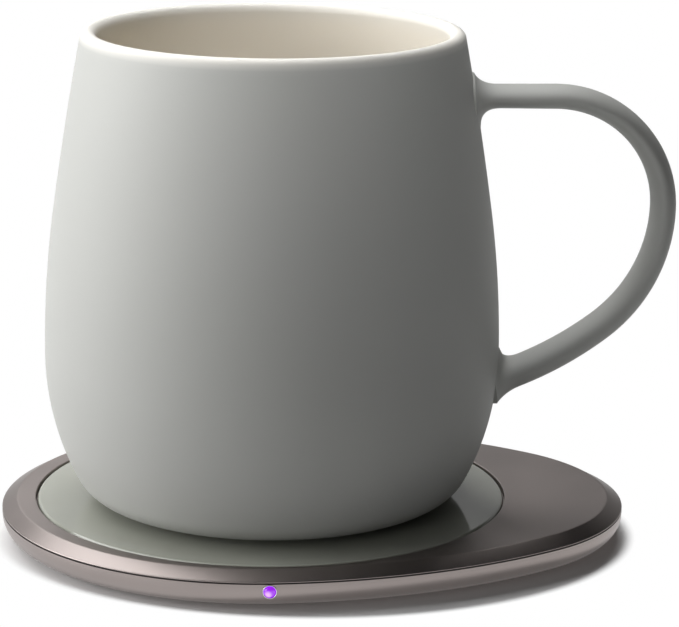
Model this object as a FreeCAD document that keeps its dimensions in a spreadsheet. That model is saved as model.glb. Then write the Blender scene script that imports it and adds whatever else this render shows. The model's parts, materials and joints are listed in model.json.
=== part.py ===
import FreeCAD, Part
import math
import operator
import os
import Sketcher

# An induction mug warmer: a low egg-shaped pad with a round heated disc, and the mug that stands on it.
# The origin is on the floor under the disc's centre. +Z is up, +X points to the pad's nose and the mug's
# handle, and the status light is at the front, towards -Y. All sizes are millimetres.

doc = FreeCAD.newDocument("mug_warmer")
sheet = doc.addObject("Spreadsheet::Sheet", "Sizes")

SIZES = [
    ("heel_radius", 52.2, "Pad outline: round end behind the mug"),
    ("heel_back", 2.5, "Pad outline: centre of that end behind the disc's centre"),
    ("nose_radius", 39.0, "Pad outline: round end under the handle"),
    ("nose_ahead", 33.0, "Pad outline: centre of that end ahead of the disc's centre"),
    ("flank_radius", 102.0, "Pad outline: long sides that join the two ends"),
    ("pad_height", 8.2, "Pad: floor to the top of disc and cover"),
    ("foot_proud", 1.0, "Pad: how far the foot lifts the case off the floor"),
    ("foot_inset", 9.0, "Foot: edge inside the pad's outline"),
    ("foot_recess", 0.5, "Foot: depth let into the case"),
    ("foot_edge", 0.4, "Foot: slope of the lower edge"),
    ("fit_gap", 0.2, "Clearance round a piece that drops into a seat"),
    ("case_wall", 1.6, "Lower case: side wall"),
    ("case_floor", 1.3, "Lower case: floor"),
    ("case_round", 4.4, "Lower case: outside rounding under the band"),
    ("corner_slope", 1.9, "Lower case: slope in the inside corner"),
    ("cover_thickness", 1.85, "Cover: edge to top"),
    ("cover_skin", 1.2, "Cover: top wall over the nose"),
    ("bevel_width", 3.0, "Cover: bevel, measured inwards"),
    ("bevel_height", 1.65, "Cover: bevel, measured down"),
    ("tongue_depth", 1.2, "Cover: tongue that locates it in the case"),
    ("tongue_thickness", 1.2, "Cover: tongue wall"),
    ("seal_thickness", 0.3, "Case seal: the dark line between case and cover"),
    ("seal_inset", 0.5, "Case seal: edge inside the outline"),
    ("seal_width", 1.0, "Case seal: width"),
    ("disc_margin", 4.6, "Disc: edge inside the pad's round end"),
    ("disc_thickness", 1.2, "Disc: thickness"),
    ("disc_edge", 0.6, "Disc: slope of the upper edge"),
    ("disc_gap", 0.3, "Disc: shadow gap to the cover"),
    ("ledge_width", 4.2, "Cover: ledge that carries the disc"),
    ("ledge_thickness", 1.0, "Cover: thickness of that ledge"),
    ("ledge_wall", 1.2, "Cover: wall round the ledge"),
    ("tape_thickness", 0.1, "Disc tape: thickness"),
    ("tape_margin", 0.35, "Disc tape: margin to the edges of disc and ledge"),
    ("sheet_thickness", 0.4, "Insulation sheet: thickness"),
    ("coil_inner", 9.5, "Coil: radius of the first turn"),
    ("coil_pitch", 2.6, "Coil: step from turn to turn"),
    ("coil_width", 1.9, "Coil: width of the conductor"),
    ("coil_height", 1.3, "Coil: height of the conductor"),
    ("carrier_radius", 36.0, "Coil carrier: radius"),
    ("carrier_thickness", 0.8, "Coil carrier: plate"),
    ("carrier_rim", 1.4, "Coil carrier: wall of rim and hub"),
    ("carrier_wall_height", 1.1, "Coil carrier: height of rim and hub above the plate"),
    ("ferrite_thickness", 1.2, "Ferrite bars: thickness"),
    ("ferrite_width", 6.0, "Ferrite bars: width"),
    ("ferrite_start", 9.0, "Ferrite bars: inner end"),
    ("ferrite_end", 33.0, "Ferrite bars: outer end"),
    ("shield_thickness", 0.4, "Shield plate: thickness"),
    ("rib_radius", 14.0, "Lower case: radius of the inner rib under the shield"),
    ("rib_width", 1.2, "Lower case: width of both ribs"),
    ("hub_bore", 3.2, "Sensor: hole through carrier and sheet"),
    ("sensor_radius", 1.2, "Sensor: radius of the bead"),
    ("sensor_height", 1.4, "Sensor: height of the bead"),
    ("lead_width", 0.8, "Leads: width and thickness"),
    ("lead_spacing", 4.6, "Leads: from the inner lead to the outer one"),
    ("sensor_lead_offset", 2.2, "Leads: from the inner lead to the sensor's lead"),
    ("screw_margin", 2.35, "Case screws: the three at the round end, outside the window"),
    ("screw_angle", 115.0, "Case screws: angle of two of those from +X, in degrees"),
    ("nose_screw_inset", 7.0, "Case screws: the two in the nose, inside its edge"),
    ("nose_screw_angle", 38.7, "Case screws: angle of those two from +X, in degrees"),
    ("screw_radius", 1.0, "Case screws: shank"),
    ("screw_head_radius", 1.75, "Case screws: head"),
    ("screw_head_height", 0.9, "Case screws: head"),
    ("screw_cover", 0.15, "Case screws: depth of the head in its recess"),
    ("screw_bite", 2.4, "Case screws: length in the cover's boss"),
    ("boss_joint", 4.0, "Bosses: height where case and cover bosses meet"),
    ("case_boss_radius", 3.0, "Bosses: on the case"),
    ("cover_boss_radius", 2.0, "Bosses: on the cover"),
    ("running_gap", 0.05, "Clearance round a screw's shank"),
    ("board_inset", 3.0, "Board: edge inside the outline"),
    ("board_thickness", 0.8, "Board: thickness"),
    ("board_standoff", 0.8, "Board: height over the case floor"),
    ("board_margin", 0.2, "Board: round edge beside the coil, outside the window"),
    ("board_back", 7.0, "Board: length of its arms behind the disc's centre"),
    ("board_screw_ahead", 12.0, "Board screws: the two in the arms, ahead"),
    ("board_screw_margin", 1.7, "Board screws: the two in the arms, outside the round edge"),
    ("board_screw_inset", 7.2, "Board screws: the one in the nose, inside its tip"),
    ("board_screw_radius", 0.7, "Board screws: shank"),
    ("board_head_radius", 1.3, "Board screws: head"),
    ("board_head_height", 0.6, "Board screws: head"),
    ("board_post_radius", 1.8, "Board screws: post on the case floor"),
    ("chip_side", 5.0, "Microcontroller: side"),
    ("chip_height", 0.9, "Microcontroller: height"),
    ("switch_length", 6.0, "Power transistors: length"),
    ("switch_width", 5.0, "Power transistors: width"),
    ("switch_height", 1.0, "Power transistors: height"),
    ("choke_side", 7.0, "Power inductor: side"),
    ("choke_height", 2.5, "Power inductor: height"),
    ("tank_length", 7.2, "Tank capacitors: length"),
    ("tank_width", 4.6, "Tank capacitors: width"),
    ("tank_height", 1.9, "Tank capacitors: height"),
    ("tank_ahead", 11.0, "Tank capacitors: ahead of the nose's centre"),
    ("tank_side", 30.0, "Tank capacitors: sideways"),
    ("small_length", 2.0, "Small chip parts: length"),
    ("small_width", 1.25, "Small chip parts: width"),
    ("small_height", 0.5, "Small chip parts: height"),
    ("small_step", 3.4, "Small chip parts: step from one to the next"),
    ("small_margin", 3.4, "Small chip parts: middle outside the round edge"),
    ("parts_margin", 7.6, "Board parts: middle of the row across the nose, outside the round edge"),
    ("light_radius", 1.15, "Status light: lens"),
    ("light_proud", 0.3, "Status light: how far the lens stands out"),
    ("light_round", 0.6, "Status light: rounding of the lens"),
    ("flange_thickness", 0.5, "Status light: flange behind the wall"),
    ("flange_width", 0.25, "Status light: flange outside its bore"),
    ("ring_wall", 0.18, "Light ring: wall"),
    ("ring_depth", 0.9, "Light ring: depth in the case wall"),
    ("lamp_height", 1.4, "Lamp: height over the board"),
    ("lamp_width", 2.4, "Lamp: width"),
    ("lamp_depth", 1.0, "Lamp: depth"),
    ("inlet_width", 8.94, "Power inlet: shell width"),
    ("inlet_height", 3.26, "Power inlet: shell height"),
    ("inlet_depth", 7.35, "Power inlet: shell depth"),
    ("inlet_wall", 0.3, "Power inlet: shell wall"),
    ("inlet_setback", 0.6, "Power inlet: mouth inside the outline"),
    ("inlet_lift", 0.6, "Power inlet: axis over the board's middle"),
    ("inlet_tongue_width", 6.7, "Power inlet: contact tongue width"),
    ("inlet_tongue_height", 0.7, "Power inlet: contact tongue height"),
    ("inlet_tongue_setback", 1.0, "Power inlet: contact tongue behind the mouth"),
    ("mug_height", 95.6, "Mug: foot to rim"),
    ("mug_radius", 45.05, "Mug: widest radius"),
    ("mug_waist", 33.8, "Mug: height of the widest place over the foot"),
    ("mug_upper_curve", 266.0, "Mug: profile radius above the widest place"),
    ("mug_belly_curve", 120.0, "Mug: profile radius just below it"),
    ("mug_belly_end", 15.8, "Mug: height where that curve ends"),
    ("mug_lower_curve", 27.4, "Mug: profile radius of the lower body"),
    ("mug_lower_end", 5.8, "Mug: height where the lower body ends"),
    ("mug_wall", 3.2, "Mug: wall"),
    ("mug_floor", 3.6, "Mug: floor over the foot's recess"),
    ("mug_lip", 1.5, "Mug: rounding of the lip"),
    ("foot_ring_height", 0.8, "Mug: foot ring"),
    ("foot_ring_radius", 29.4, "Mug: foot ring, outside"),
    ("foot_ring_width", 1.8, "Mug: foot ring"),
    ("foot_ring_edge", 0.3, "Mug: slope of the foot ring's edge"),
    ("film_thickness", 0.4, "Heating layer under the mug: thickness"),
    ("film_margin", 0.8, "Heating layer: gap to the foot ring"),
    ("handle_top", 82.5, "Handle: middle of its upper run over the foot"),
    ("handle_bend_centre", 55.9, "Handle: centre of the upper bend from the mug's axis"),
    ("handle_bend", 22.0, "Handle: radius of the upper bend"),
    ("handle_sweep", 31.5, "Handle: radius of the long lower bend"),
    ("handle_sweep_angle", 55.0, "Handle: turn of the lower bend, in degrees"),
    ("handle_tail", 28.5, "Handle: straight run into the mug"),
    ("handle_start", 38.6, "Handle: start of the upper run, inside the mug's wall"),
    ("handle_thickness", 5.3, "Handle: thickness at the top"),
    ("handle_width", 11.0, "Handle: width at the top"),
    ("handle_thickness_low", 6.8, "Handle: thickness at the lower root"),
    ("handle_width_low", 12.4, "Handle: width at the lower root"),
    ("handle_fillet", 3.0, "Handle: fillet at the roots"),
    ("mug_ahead", 0.96, "Mug: its axis ahead of the disc's centre"),
    ("mug_in_front", 0.98, "Mug: its axis in front of the disc's centre"),
]
COIL_TURNS = 8
FERRITE_COUNT = 6


class Length:
    """A size: its number now, and the words that tie it to the sheet."""

    def __init__(self, number, words):
        self.number = number
        self.words = words

    def __add__(self, other):
        return combine(self, "+", other)

    def __sub__(self, other):
        return combine(self, "-", other)

    def __mul__(self, other):
        return combine(self, "*", other)

    def __truediv__(self, other):
        return combine(self, "/", other)

    def __neg__(self):
        return combine(ZERO, "-", self)


OPERATIONS = {"+": operator.add, "-": operator.sub, "*": operator.mul, "/": operator.truediv}
ZERO = Length(0.0, "0")


def as_length(item):
    """A plain number becomes a Length without a tie."""
    return item if isinstance(item, Length) else Length(float(item), str(item))


def combine(left, sign, right):
    """Two sizes worked together, in number and in words."""
    left = as_length(left)
    right = as_length(right)
    number = OPERATIONS[sign](left.number, right.number)
    return Length(number, f"({left.words} {sign} {right.words})")


def root(item):
    """The square root of a size."""
    return Length(math.sqrt(item.number), f"sqrt({item.words})")


def cosine(angle):
    """The cosine of an angle in degrees."""
    return Length(math.cos(math.radians(angle.number)), f"cos({angle.words} * 1deg)")


def sine(angle):
    """The sine of an angle in degrees."""
    return Length(math.sin(math.radians(angle.number)), f"sin({angle.words} * 1deg)")


# The sheet of driving dimensions

size = {}
for row, (alias, number, meaning) in enumerate(SIZES, start=1):
    sheet.set(f"A{row}", meaning)
    sheet.set(f"B{row}", str(number))
    sheet.setAlias(f"B{row}", alias)
    size[alias] = Length(number, f"Sizes.{alias}")
doc.recompute()

# Heights and places that several pieces share

case_low = size["foot_proud"]
floor_top = case_low + size["case_floor"]
cover_low = size["pad_height"] - size["cover_thickness"]
case_top = cover_low - size["seal_thickness"]
tongue_low = cover_low - size["tongue_depth"]
tongue_inset = size["case_wall"] + size["fit_gap"]
hollow_inset = tongue_inset + size["tongue_thickness"]
hollow_top = size["pad_height"] - size["cover_skin"]
disc_low = size["pad_height"] - size["disc_thickness"]
ledge_top = disc_low - size["tape_thickness"]
ledge_low = ledge_top - size["ledge_thickness"]
disc_radius = size["heel_radius"] - size["disc_margin"]
seat_radius = disc_radius + size["disc_gap"]
window_radius = disc_radius - size["ledge_width"]
coil_top = disc_low - size["sheet_thickness"]
coil_low = coil_top - size["coil_height"]
carrier_low = coil_low - size["carrier_thickness"]
ferrite_low = carrier_low - size["ferrite_thickness"]
shield_low = ferrite_low - size["shield_thickness"]
board_low = floor_top + size["board_standoff"]
board_top = board_low + size["board_thickness"]
light_height = board_top + size["lamp_height"] / 2
inlet_axis = board_low + size["board_thickness"] / 2 + size["inlet_lift"]
side_reach = root(size["heel_radius"] * size["heel_radius"] - size["heel_back"] * size["heel_back"])
ring_radius = size["light_radius"] + size["running_gap"] + size["ring_wall"]
light_bore = ring_radius + size["running_gap"]
flange_radius = light_bore + size["flange_width"]
coil_outer = size["coil_inner"] + size["coil_pitch"] * COIL_TURNS
mug_low = size["pad_height"]

board_bore = window_radius + size["board_margin"]
screw_circle = window_radius + size["screw_margin"]
nose_circle = size["nose_radius"] - size["nose_screw_inset"]
heel_screw = (screw_circle * cosine(size["screw_angle"]), screw_circle * sine(size["screw_angle"]))
nose_screw = (size["nose_ahead"] + nose_circle * cosine(size["nose_screw_angle"]),
              nose_circle * sine(size["nose_screw_angle"]))
nose_tip = size["nose_ahead"] + size["nose_radius"]
board_screw_side = board_bore + size["board_screw_margin"]

screw_places = [
    (-screw_circle, None),
    (heel_screw[0], heel_screw[1]),
    (heel_screw[0], -heel_screw[1]),
    (nose_screw[0], nose_screw[1]),
    (nose_screw[0], -nose_screw[1]),
]
board_screw_places = [
    (nose_tip - size["board_screw_inset"], None),
    (size["board_screw_ahead"], board_screw_side),
    (size["board_screw_ahead"], -board_screw_side),
]


# Sketch helpers. A place of None means that the point lies on that axis of the sketch.

def new_body(label):
    """A body whose label is the name of its node."""
    body = doc.addObject("PartDesign::Body", label)
    body.Label = label
    body.AllowCompound = True
    return body


def new_sketch(body, name, plane="XY_Plane", offset=ZERO):
    """A sketch on one of the body's own planes, moved along its normal."""
    sketch = body.newObject("Sketcher::SketchObject", name)
    support = [item for item in body.Origin.OriginFeatures if item.Role == plane][0]
    sketch.AttachmentSupport = (support, [""])
    sketch.MapMode = "FlatFace"
    sketch.setExpression(".AttachmentOffset.Base.z", offset.words)
    return sketch


def spot(across, along):
    """The point of two sizes, on the sketch's plane."""
    return FreeCAD.Vector(as_length(across or 0).number, as_length(along or 0).number, 0)


def tie(sketch, kind, places, length):
    """A size in a sketch that follows the sheet."""
    index = sketch.addConstraint(Sketcher.Constraint(kind, *places, length.number))
    sketch.setExpression(f"Constraints[{index}]", length.words)


def pin(sketch, shape, point, across, along):
    """Fixes one point of a shape at its place."""
    if across is None:
        sketch.addConstraint(Sketcher.Constraint("PointOnObject", shape, point, -2))
    else:
        tie(sketch, "DistanceX", (-1, 1, shape, point), across)
    if along is None:
        sketch.addConstraint(Sketcher.Constraint("PointOnObject", shape, point, -1))
    else:
        tie(sketch, "DistanceY", (-1, 1, shape, point), along)


def draw_circle(sketch, radius, across=None, along=None):
    """A circle of a set radius at a set place."""
    shape = sketch.addGeometry(Part.Circle(spot(across, along), FreeCAD.Vector(0, 0, 1), radius.number))
    pin(sketch, shape, 3, across, along)
    tie(sketch, "Radius", (shape,), radius)


def draw_polygon(sketch, corners):
    """Straight lines from corner to corner, closed."""
    points = [spot(across, along) for across, along in corners]
    lines = []
    for start, end in zip(points, points[1:] + points[:1]):
        lines.append(sketch.addGeometry(Part.LineSegment(start, end)))
    for line, following in zip(lines, lines[1:] + lines[:1]):
        sketch.addConstraint(Sketcher.Constraint("Coincident", line, 2, following, 1))
    for line, (across, along) in zip(lines, corners):
        pin(sketch, line, 1, across, along)


def draw_rectangle(sketch, west, east, south, north):
    """A rectangle between two sizes each way."""
    draw_polygon(sketch, [(west, south), (east, south), (east, north), (west, north)])


def draw_arc(sketch, centre, radius, start, end):
    """An arc between two angles in radians, anticlockwise, with nothing tied yet."""
    circle = Part.Circle(centre, FreeCAD.Vector(0, 0, 1), radius)
    return sketch.addGeometry(Part.ArcOfCircle(circle, start, end))


def draw_slot(sketch, width, height, along):
    """A slot with round ends, centred on the upright axis."""
    radius = height / 2
    reach = (width - height) / 2
    middle = along.number
    quarter = math.pi / 2
    east = draw_arc(sketch, spot(reach, along), radius.number, -quarter, quarter)
    west = draw_arc(sketch, spot(-reach, along), radius.number, quarter, 3 * quarter)
    low = middle - radius.number
    high = middle + radius.number
    top = sketch.addGeometry(Part.LineSegment(FreeCAD.Vector(reach.number, high, 0),
                                              FreeCAD.Vector(-reach.number, high, 0)))
    base = sketch.addGeometry(Part.LineSegment(FreeCAD.Vector(-reach.number, low, 0),
                                               FreeCAD.Vector(reach.number, low, 0)))
    chain = [east, top, west, base]
    for shape, following in zip(chain, chain[1:] + chain[:1]):
        sketch.addConstraint(Sketcher.Constraint("Tangent", shape, 2, following, 1))
    pin(sketch, east, 3, reach, along)
    pin(sketch, west, 3, -reach, along)
    tie(sketch, "Radius", (east,), radius)


def draw_egg(sketch, inset):
    """The pad's outline, moved inwards by an inset: two round ends joined by two long arcs, all tangent."""
    heel = size["heel_radius"] - inset
    nose = size["nose_radius"] - inset
    flank = size["flank_radius"] - inset
    heel_reach = flank.number - heel.number
    nose_reach = flank.number - nose.number
    apart = size["heel_back"].number + size["nose_ahead"].number
    ahead = (heel_reach ** 2 - nose_reach ** 2 + apart ** 2) / (2 * apart)
    aside = math.sqrt(heel_reach ** 2 - ahead ** 2)
    heel_turn = math.atan2(aside, -ahead)
    nose_turn = math.atan2(aside, apart - ahead)
    heel_centre = FreeCAD.Vector(-size["heel_back"].number, 0, 0)
    nose_centre = FreeCAD.Vector(size["nose_ahead"].number, 0, 0)
    left_centre = FreeCAD.Vector(heel_centre.x + ahead, -aside, 0)
    right_centre = FreeCAD.Vector(heel_centre.x + ahead, aside, 0)
    heel_arc = draw_arc(sketch, heel_centre, heel.number, heel_turn, 2 * math.pi - heel_turn)
    right_arc = draw_arc(sketch, right_centre, flank.number, -heel_turn, -nose_turn)
    nose_arc = draw_arc(sketch, nose_centre, nose.number, -nose_turn, nose_turn)
    left_arc = draw_arc(sketch, left_centre, flank.number, nose_turn, heel_turn)
    chain = [heel_arc, right_arc, nose_arc, left_arc]
    for arc, following in zip(chain, chain[1:] + chain[:1]):
        sketch.addConstraint(Sketcher.Constraint("Tangent", arc, 2, following, 1))
    pin(sketch, heel_arc, 3, -size["heel_back"], None)
    pin(sketch, nose_arc, 3, size["nose_ahead"], None)
    for arc, radius in [(heel_arc, heel), (nose_arc, nose), (left_arc, flank), (right_arc, flank)]:
        tie(sketch, "Radius", (arc,), radius)


# Feature helpers

def check_change(body, before, grows, name):
    """Stops if a feature changed nothing or went the wrong way."""
    doc.recompute()
    change = body.Shape.Volume - before
    if (change > 1e-3) != grows or abs(change) < 1e-3:
        raise RuntimeError(f"{body.Label} {name} changes the volume by {change:.3f}")


def volume_of(body):
    """The body's volume, or nothing before its first feature."""
    doc.recompute()
    return 0.0 if body.Tip is None or body.Shape.isNull() else body.Shape.Volume


def extrude(body, kind, name, sketch, length, reverse):
    """A pad or a pocket of a sketch."""
    before = volume_of(body)
    feature = body.newObject(kind, name)
    feature.Profile = sketch
    feature.Length = length.number
    feature.setExpression("Length", length.words)
    feature.Reversed = reverse
    check_change(body, before, kind == "PartDesign::Pad", name)
    return feature


def pad_up(body, name, sketch, length):
    """Material above a sketch."""
    return extrude(body, "PartDesign::Pad", name, sketch, length, False)


def cut_up(body, name, sketch, length):
    """A pocket above a sketch."""
    return extrude(body, "PartDesign::Pocket", name, sketch, length, True)


def cut_down(body, name, sketch, length):
    """A pocket below a sketch."""
    return extrude(body, "PartDesign::Pocket", name, sketch, length, False)


def flat_edges(feature, height):
    """The names of the edges that lie level at a height."""
    names = []
    for number, edge in enumerate(feature.Shape.Edges, start=1):
        box = edge.BoundBox
        if abs(box.ZMin - height) < 1e-4 and abs(box.ZMax - height) < 1e-4:
            names.append(f"Edge{number}")
    return names


def round_edges(body, name, feature, names, radius):
    """Fillets the named edges of a feature."""
    fillet = body.newObject("PartDesign::Fillet", name)
    fillet.Base = (feature, names)
    fillet.Radius = radius.number
    fillet.setExpression("Radius", radius.words)
    doc.recompute()
    return fillet


def slope_edges(body, name, feature, names, down, inwards):
    """Chamfers the named edges of a feature by two distances."""
    slope = body.newObject("PartDesign::Chamfer", name)
    slope.Base = (feature, names)
    slope.ChamferType = "Two distances"
    slope.Size = down.number
    slope.setExpression("Size", down.words)
    slope.Size2 = inwards.number
    slope.setExpression("Size2", inwards.words)
    doc.recompute()


def turn(body, kind, name, sketch):
    """A revolution or a groove about the upright axis of a sketch."""
    before = volume_of(body)
    feature = body.newObject(kind, name)
    feature.Profile = sketch
    feature.ReferenceAxis = (sketch, ["V_Axis"])
    feature.Angle = 360
    check_change(body, before, kind == "PartDesign::Revolution", name)
    return feature


def level_sketch(body, name, height):
    """A sketch lying level at a height."""
    return new_sketch(body, name, "XY_Plane", height)


def front_sketch(body, name, distance):
    """An upright sketch, square to Y and so far in front of the disc's centre. It faces the front."""
    return new_sketch(body, name, "XZ_Plane", distance)


def ring(label, inner, outer, low, height):
    """A flat ring that lies level."""
    body = new_body(label)
    sketch = level_sketch(body, "Outline", low)
    draw_circle(sketch, outer)
    draw_circle(sketch, inner)
    pad_up(body, "Ring", sketch, height)
    return body


def blocks(label, low, height, places):
    """Boxes that stand on one level, each from west to east and south to north."""
    body = new_body(label)
    sketch = level_sketch(body, "Outlines", low)
    for west, east, south, north in places:
        draw_rectangle(sketch, west, east, south, north)
    pad_up(body, "Blocks", sketch, height)
    return body


def around(across, along, length, width):
    """The four limits of a box round a place."""
    along = ZERO if along is None else along
    return (across - length / 2, across + length / 2, along - width / 2, along + width / 2)


# Foot and lower case

def make_foot_pad():
    body = new_body("foot_pad")
    sketch = level_sketch(body, "Outline", ZERO)
    draw_egg(sketch, size["foot_inset"])
    pad = pad_up(body, "Sole", sketch, size["foot_proud"] + size["foot_recess"])
    slope_edges(body, "Edge", pad, flat_edges(pad, 0.0), size["foot_edge"], size["foot_edge"])


def make_lower_case():
    body = new_body("lower_case")
    sketch = level_sketch(body, "Outline", case_low)
    draw_egg(sketch, ZERO)
    block = pad_up(body, "Block", sketch, case_top - case_low)
    round_edges(body, "Underside", block, flat_edges(block, case_low.number), size["case_round"])

    sketch = level_sketch(body, "Inside", case_top)
    draw_egg(sketch, size["case_wall"])
    hollow = cut_down(body, "Hollow", sketch, case_top - floor_top)
    slope = size["corner_slope"]
    slope_edges(body, "Inside_corner", hollow, flat_edges(hollow, floor_top.number), slope, slope)

    sketch = level_sketch(body, "Foot_outline", case_low)
    draw_egg(sketch, size["foot_inset"] - size["fit_gap"])
    cut_up(body, "Foot_recess", sketch, size["foot_recess"])

    sketch = level_sketch(body, "Rib_outlines", floor_top)
    for radius in (size["rib_radius"], size["carrier_radius"]):
        draw_circle(sketch, radius)
        draw_circle(sketch, radius - size["rib_width"])
    pad_up(body, "Shield_ribs", sketch, shield_low - floor_top)

    sketch = level_sketch(body, "Boss_outlines", floor_top)
    for across, along in screw_places:
        draw_circle(sketch, size["case_boss_radius"], across, along)
    pad_up(body, "Screw_bosses", sketch, size["boss_joint"] - floor_top)

    sketch = level_sketch(body, "Post_outlines", floor_top)
    for across, along in board_screw_places:
        draw_circle(sketch, size["board_post_radius"], across, along)
    pad_up(body, "Board_posts", sketch, size["board_standoff"])

    recess_top = case_low + size["foot_recess"]
    sketch = level_sketch(body, "Head_outlines", recess_top)
    for across, along in screw_places:
        draw_circle(sketch, size["screw_head_radius"] + size["fit_gap"], across, along)
    cut_up(body, "Screw_seats", sketch, size["screw_cover"] + size["screw_head_height"])
    sketch = level_sketch(body, "Shank_outlines", recess_top)
    for across, along in screw_places:
        draw_circle(sketch, size["screw_radius"] + size["running_gap"], across, along)
    cut_up(body, "Screw_holes", sketch, size["boss_joint"] - recess_top)

    sketch = level_sketch(body, "Pilot_outlines", board_low)
    for across, along in board_screw_places:
        draw_circle(sketch, size["board_screw_radius"] + size["running_gap"], across, along)
    cut_down(body, "Board_pilots", sketch, size["board_standoff"] + size["case_floor"] / 4)

    corner_start = side_reach - size["case_round"]
    sketch = front_sketch(body, "Light_bore_outline", corner_start)
    draw_circle(sketch, light_bore, None, light_height)
    cut_up(body, "Light_bore", sketch, size["case_round"] + size["case_wall"])
    sketch = front_sketch(body, "Light_seat_outline", corner_start)
    draw_circle(sketch, flange_radius + size["running_gap"], None, light_height)
    cut_up(body, "Light_seat", sketch, size["case_round"] - size["case_wall"])
    sketch = front_sketch(body, "Inlet_outline", -corner_start)
    draw_slot(sketch, size["inlet_width"] + size["fit_gap"] * 2, size["inlet_height"] + size["fit_gap"],
              inlet_axis)
    cut_down(body, "Inlet_slot", sketch, size["case_round"] + size["case_wall"])


def make_case_seal():
    body = new_body("case_seal")
    sketch = level_sketch(body, "Outline", case_top)
    draw_egg(sketch, size["seal_inset"])
    draw_egg(sketch, size["seal_inset"] + size["seal_width"])
    pad_up(body, "Seal", sketch, size["seal_thickness"])


# Cover and disc

def make_upper_cover():
    body = new_body("upper_cover")
    sketch = level_sketch(body, "Outline", cover_low)
    draw_egg(sketch, ZERO)
    plate = pad_up(body, "Plate", sketch, size["cover_thickness"])
    edges = flat_edges(plate, size["pad_height"].number)
    slope_edges(body, "Bevel", plate, edges, size["bevel_height"], size["bevel_width"])

    sketch = level_sketch(body, "Tongue_outline", tongue_low)
    draw_egg(sketch, tongue_inset)
    pad_up(body, "Tongue", sketch, size["tongue_depth"])
    sketch = level_sketch(body, "Hollow_outline", tongue_low)
    draw_egg(sketch, hollow_inset)
    cut_up(body, "Hollow", sketch, hollow_top - tongue_low)

    sketch = level_sketch(body, "Ledge_outline", ledge_low)
    draw_circle(sketch, seat_radius + size["ledge_wall"])
    pad_up(body, "Ledge", sketch, hollow_top - ledge_low)
    sketch = level_sketch(body, "Boss_outlines", size["boss_joint"])
    for across, along in screw_places:
        draw_circle(sketch, size["cover_boss_radius"], across, along)
    pad_up(body, "Screw_bosses", sketch, hollow_top - size["boss_joint"])

    sketch = level_sketch(body, "Seat_outline", size["pad_height"])
    draw_circle(sketch, seat_radius)
    cut_down(body, "Disc_seat", sketch, size["pad_height"] - ledge_top)
    sketch = level_sketch(body, "Window_outline", ledge_top)
    draw_circle(sketch, window_radius)
    cut_down(body, "Window", sketch, size["ledge_thickness"])
    sketch = level_sketch(body, "Pilot_outlines", size["boss_joint"])
    for across, along in screw_places:
        draw_circle(sketch, size["screw_radius"] + size["running_gap"], across, along)
    cut_up(body, "Screw_pilots", sketch, size["screw_bite"] + size["fit_gap"])

    sketch = level_sketch(body, "Notch_outlines", tongue_low)
    near = seat_radius + size["ledge_wall"] / 2
    far = side_reach - size["case_wall"] / 2
    inlet_half = size["inlet_width"] / 2 + size["fit_gap"] * 2
    light_half = flange_radius + size["fit_gap"] * 2
    draw_rectangle(sketch, -inlet_half, inlet_half, near, far)
    draw_rectangle(sketch, -light_half, light_half, -far, -near)
    cut_up(body, "Tongue_notches", sketch, size["tongue_depth"])


def make_top_disc():
    body = new_body("top_disc")
    sketch = level_sketch(body, "Outline", disc_low)
    draw_circle(sketch, disc_radius)
    plate = pad_up(body, "Plate", sketch, size["disc_thickness"])
    edges = flat_edges(plate, size["pad_height"].number)
    slope_edges(body, "Edge", plate, edges, size["disc_edge"], size["disc_edge"])


def make_case_screws():
    body = new_body("case_screws")
    head_low = case_low + size["foot_recess"] + size["screw_cover"]
    head_top = head_low + size["screw_head_height"]
    sketch = level_sketch(body, "Shank_outlines", head_low)
    for across, along in screw_places:
        draw_circle(sketch, size["screw_radius"], across, along)
    pad_up(body, "Shanks", sketch, size["boss_joint"] + size["screw_bite"] - head_low)
    sketch = level_sketch(body, "Head_outlines", head_low)
    for across, along in screw_places:
        draw_circle(sketch, size["screw_head_radius"], across, along)
    pad_up(body, "Heads", sketch, size["screw_head_height"])
    sketch = level_sketch(body, "Slot_outlines", head_low)
    blade = size["screw_radius"] / 2
    for across, along in screw_places:
        draw_rectangle(sketch, *around(across, along, size["screw_head_radius"] * 1.3, blade))
    cut_up(body, "Slots", sketch, size["screw_head_height"] / 2)


# Heater: coil, its carrier, ferrites and shield

def make_induction_coil():
    body = new_body("induction_coil")
    path = level_sketch(body, "Path", coil_low + size["coil_height"] / 2)
    half_step = size["coil_pitch"] / 2
    arcs = []
    halves = COIL_TURNS * 2
    for half in range(halves):
        radius = size["coil_inner"] + half_step * half + half_step / 2
        centre = -(half_step / 2) if half % 2 == 0 else half_step / 2
        start = math.pi * (half % 2)
        last = half == halves - 1
        short = math.asin(size["lead_spacing"].number / radius.number) if last else 0.0
        arc = draw_arc(path, spot(centre, None), radius.number, start, start + math.pi - short)
        pin(path, arc, 3, centre, None)
        tie(path, "Radius", (arc,), radius)
        path.addConstraint(Sketcher.Constraint("PointOnObject", arc, 1, -1))
        if last:
            tie(path, "DistanceY", (-1, 1, arc, 2), -size["lead_spacing"])
        else:
            path.addConstraint(Sketcher.Constraint("PointOnObject", arc, 2, -1))
        arcs.append(arc)
    section = front_sketch(body, "Section", ZERO)
    west = size["coil_inner"] - size["coil_width"] / 2
    draw_rectangle(section, west, west + size["coil_width"], coil_low, coil_top)
    doc.recompute()
    winding = body.newObject("PartDesign::AdditivePipe", "Winding")
    winding.Profile = section
    winding.Spine = (path, [f"Edge{number + 1}" for number in range(len(arcs))])
    doc.recompute()


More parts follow.
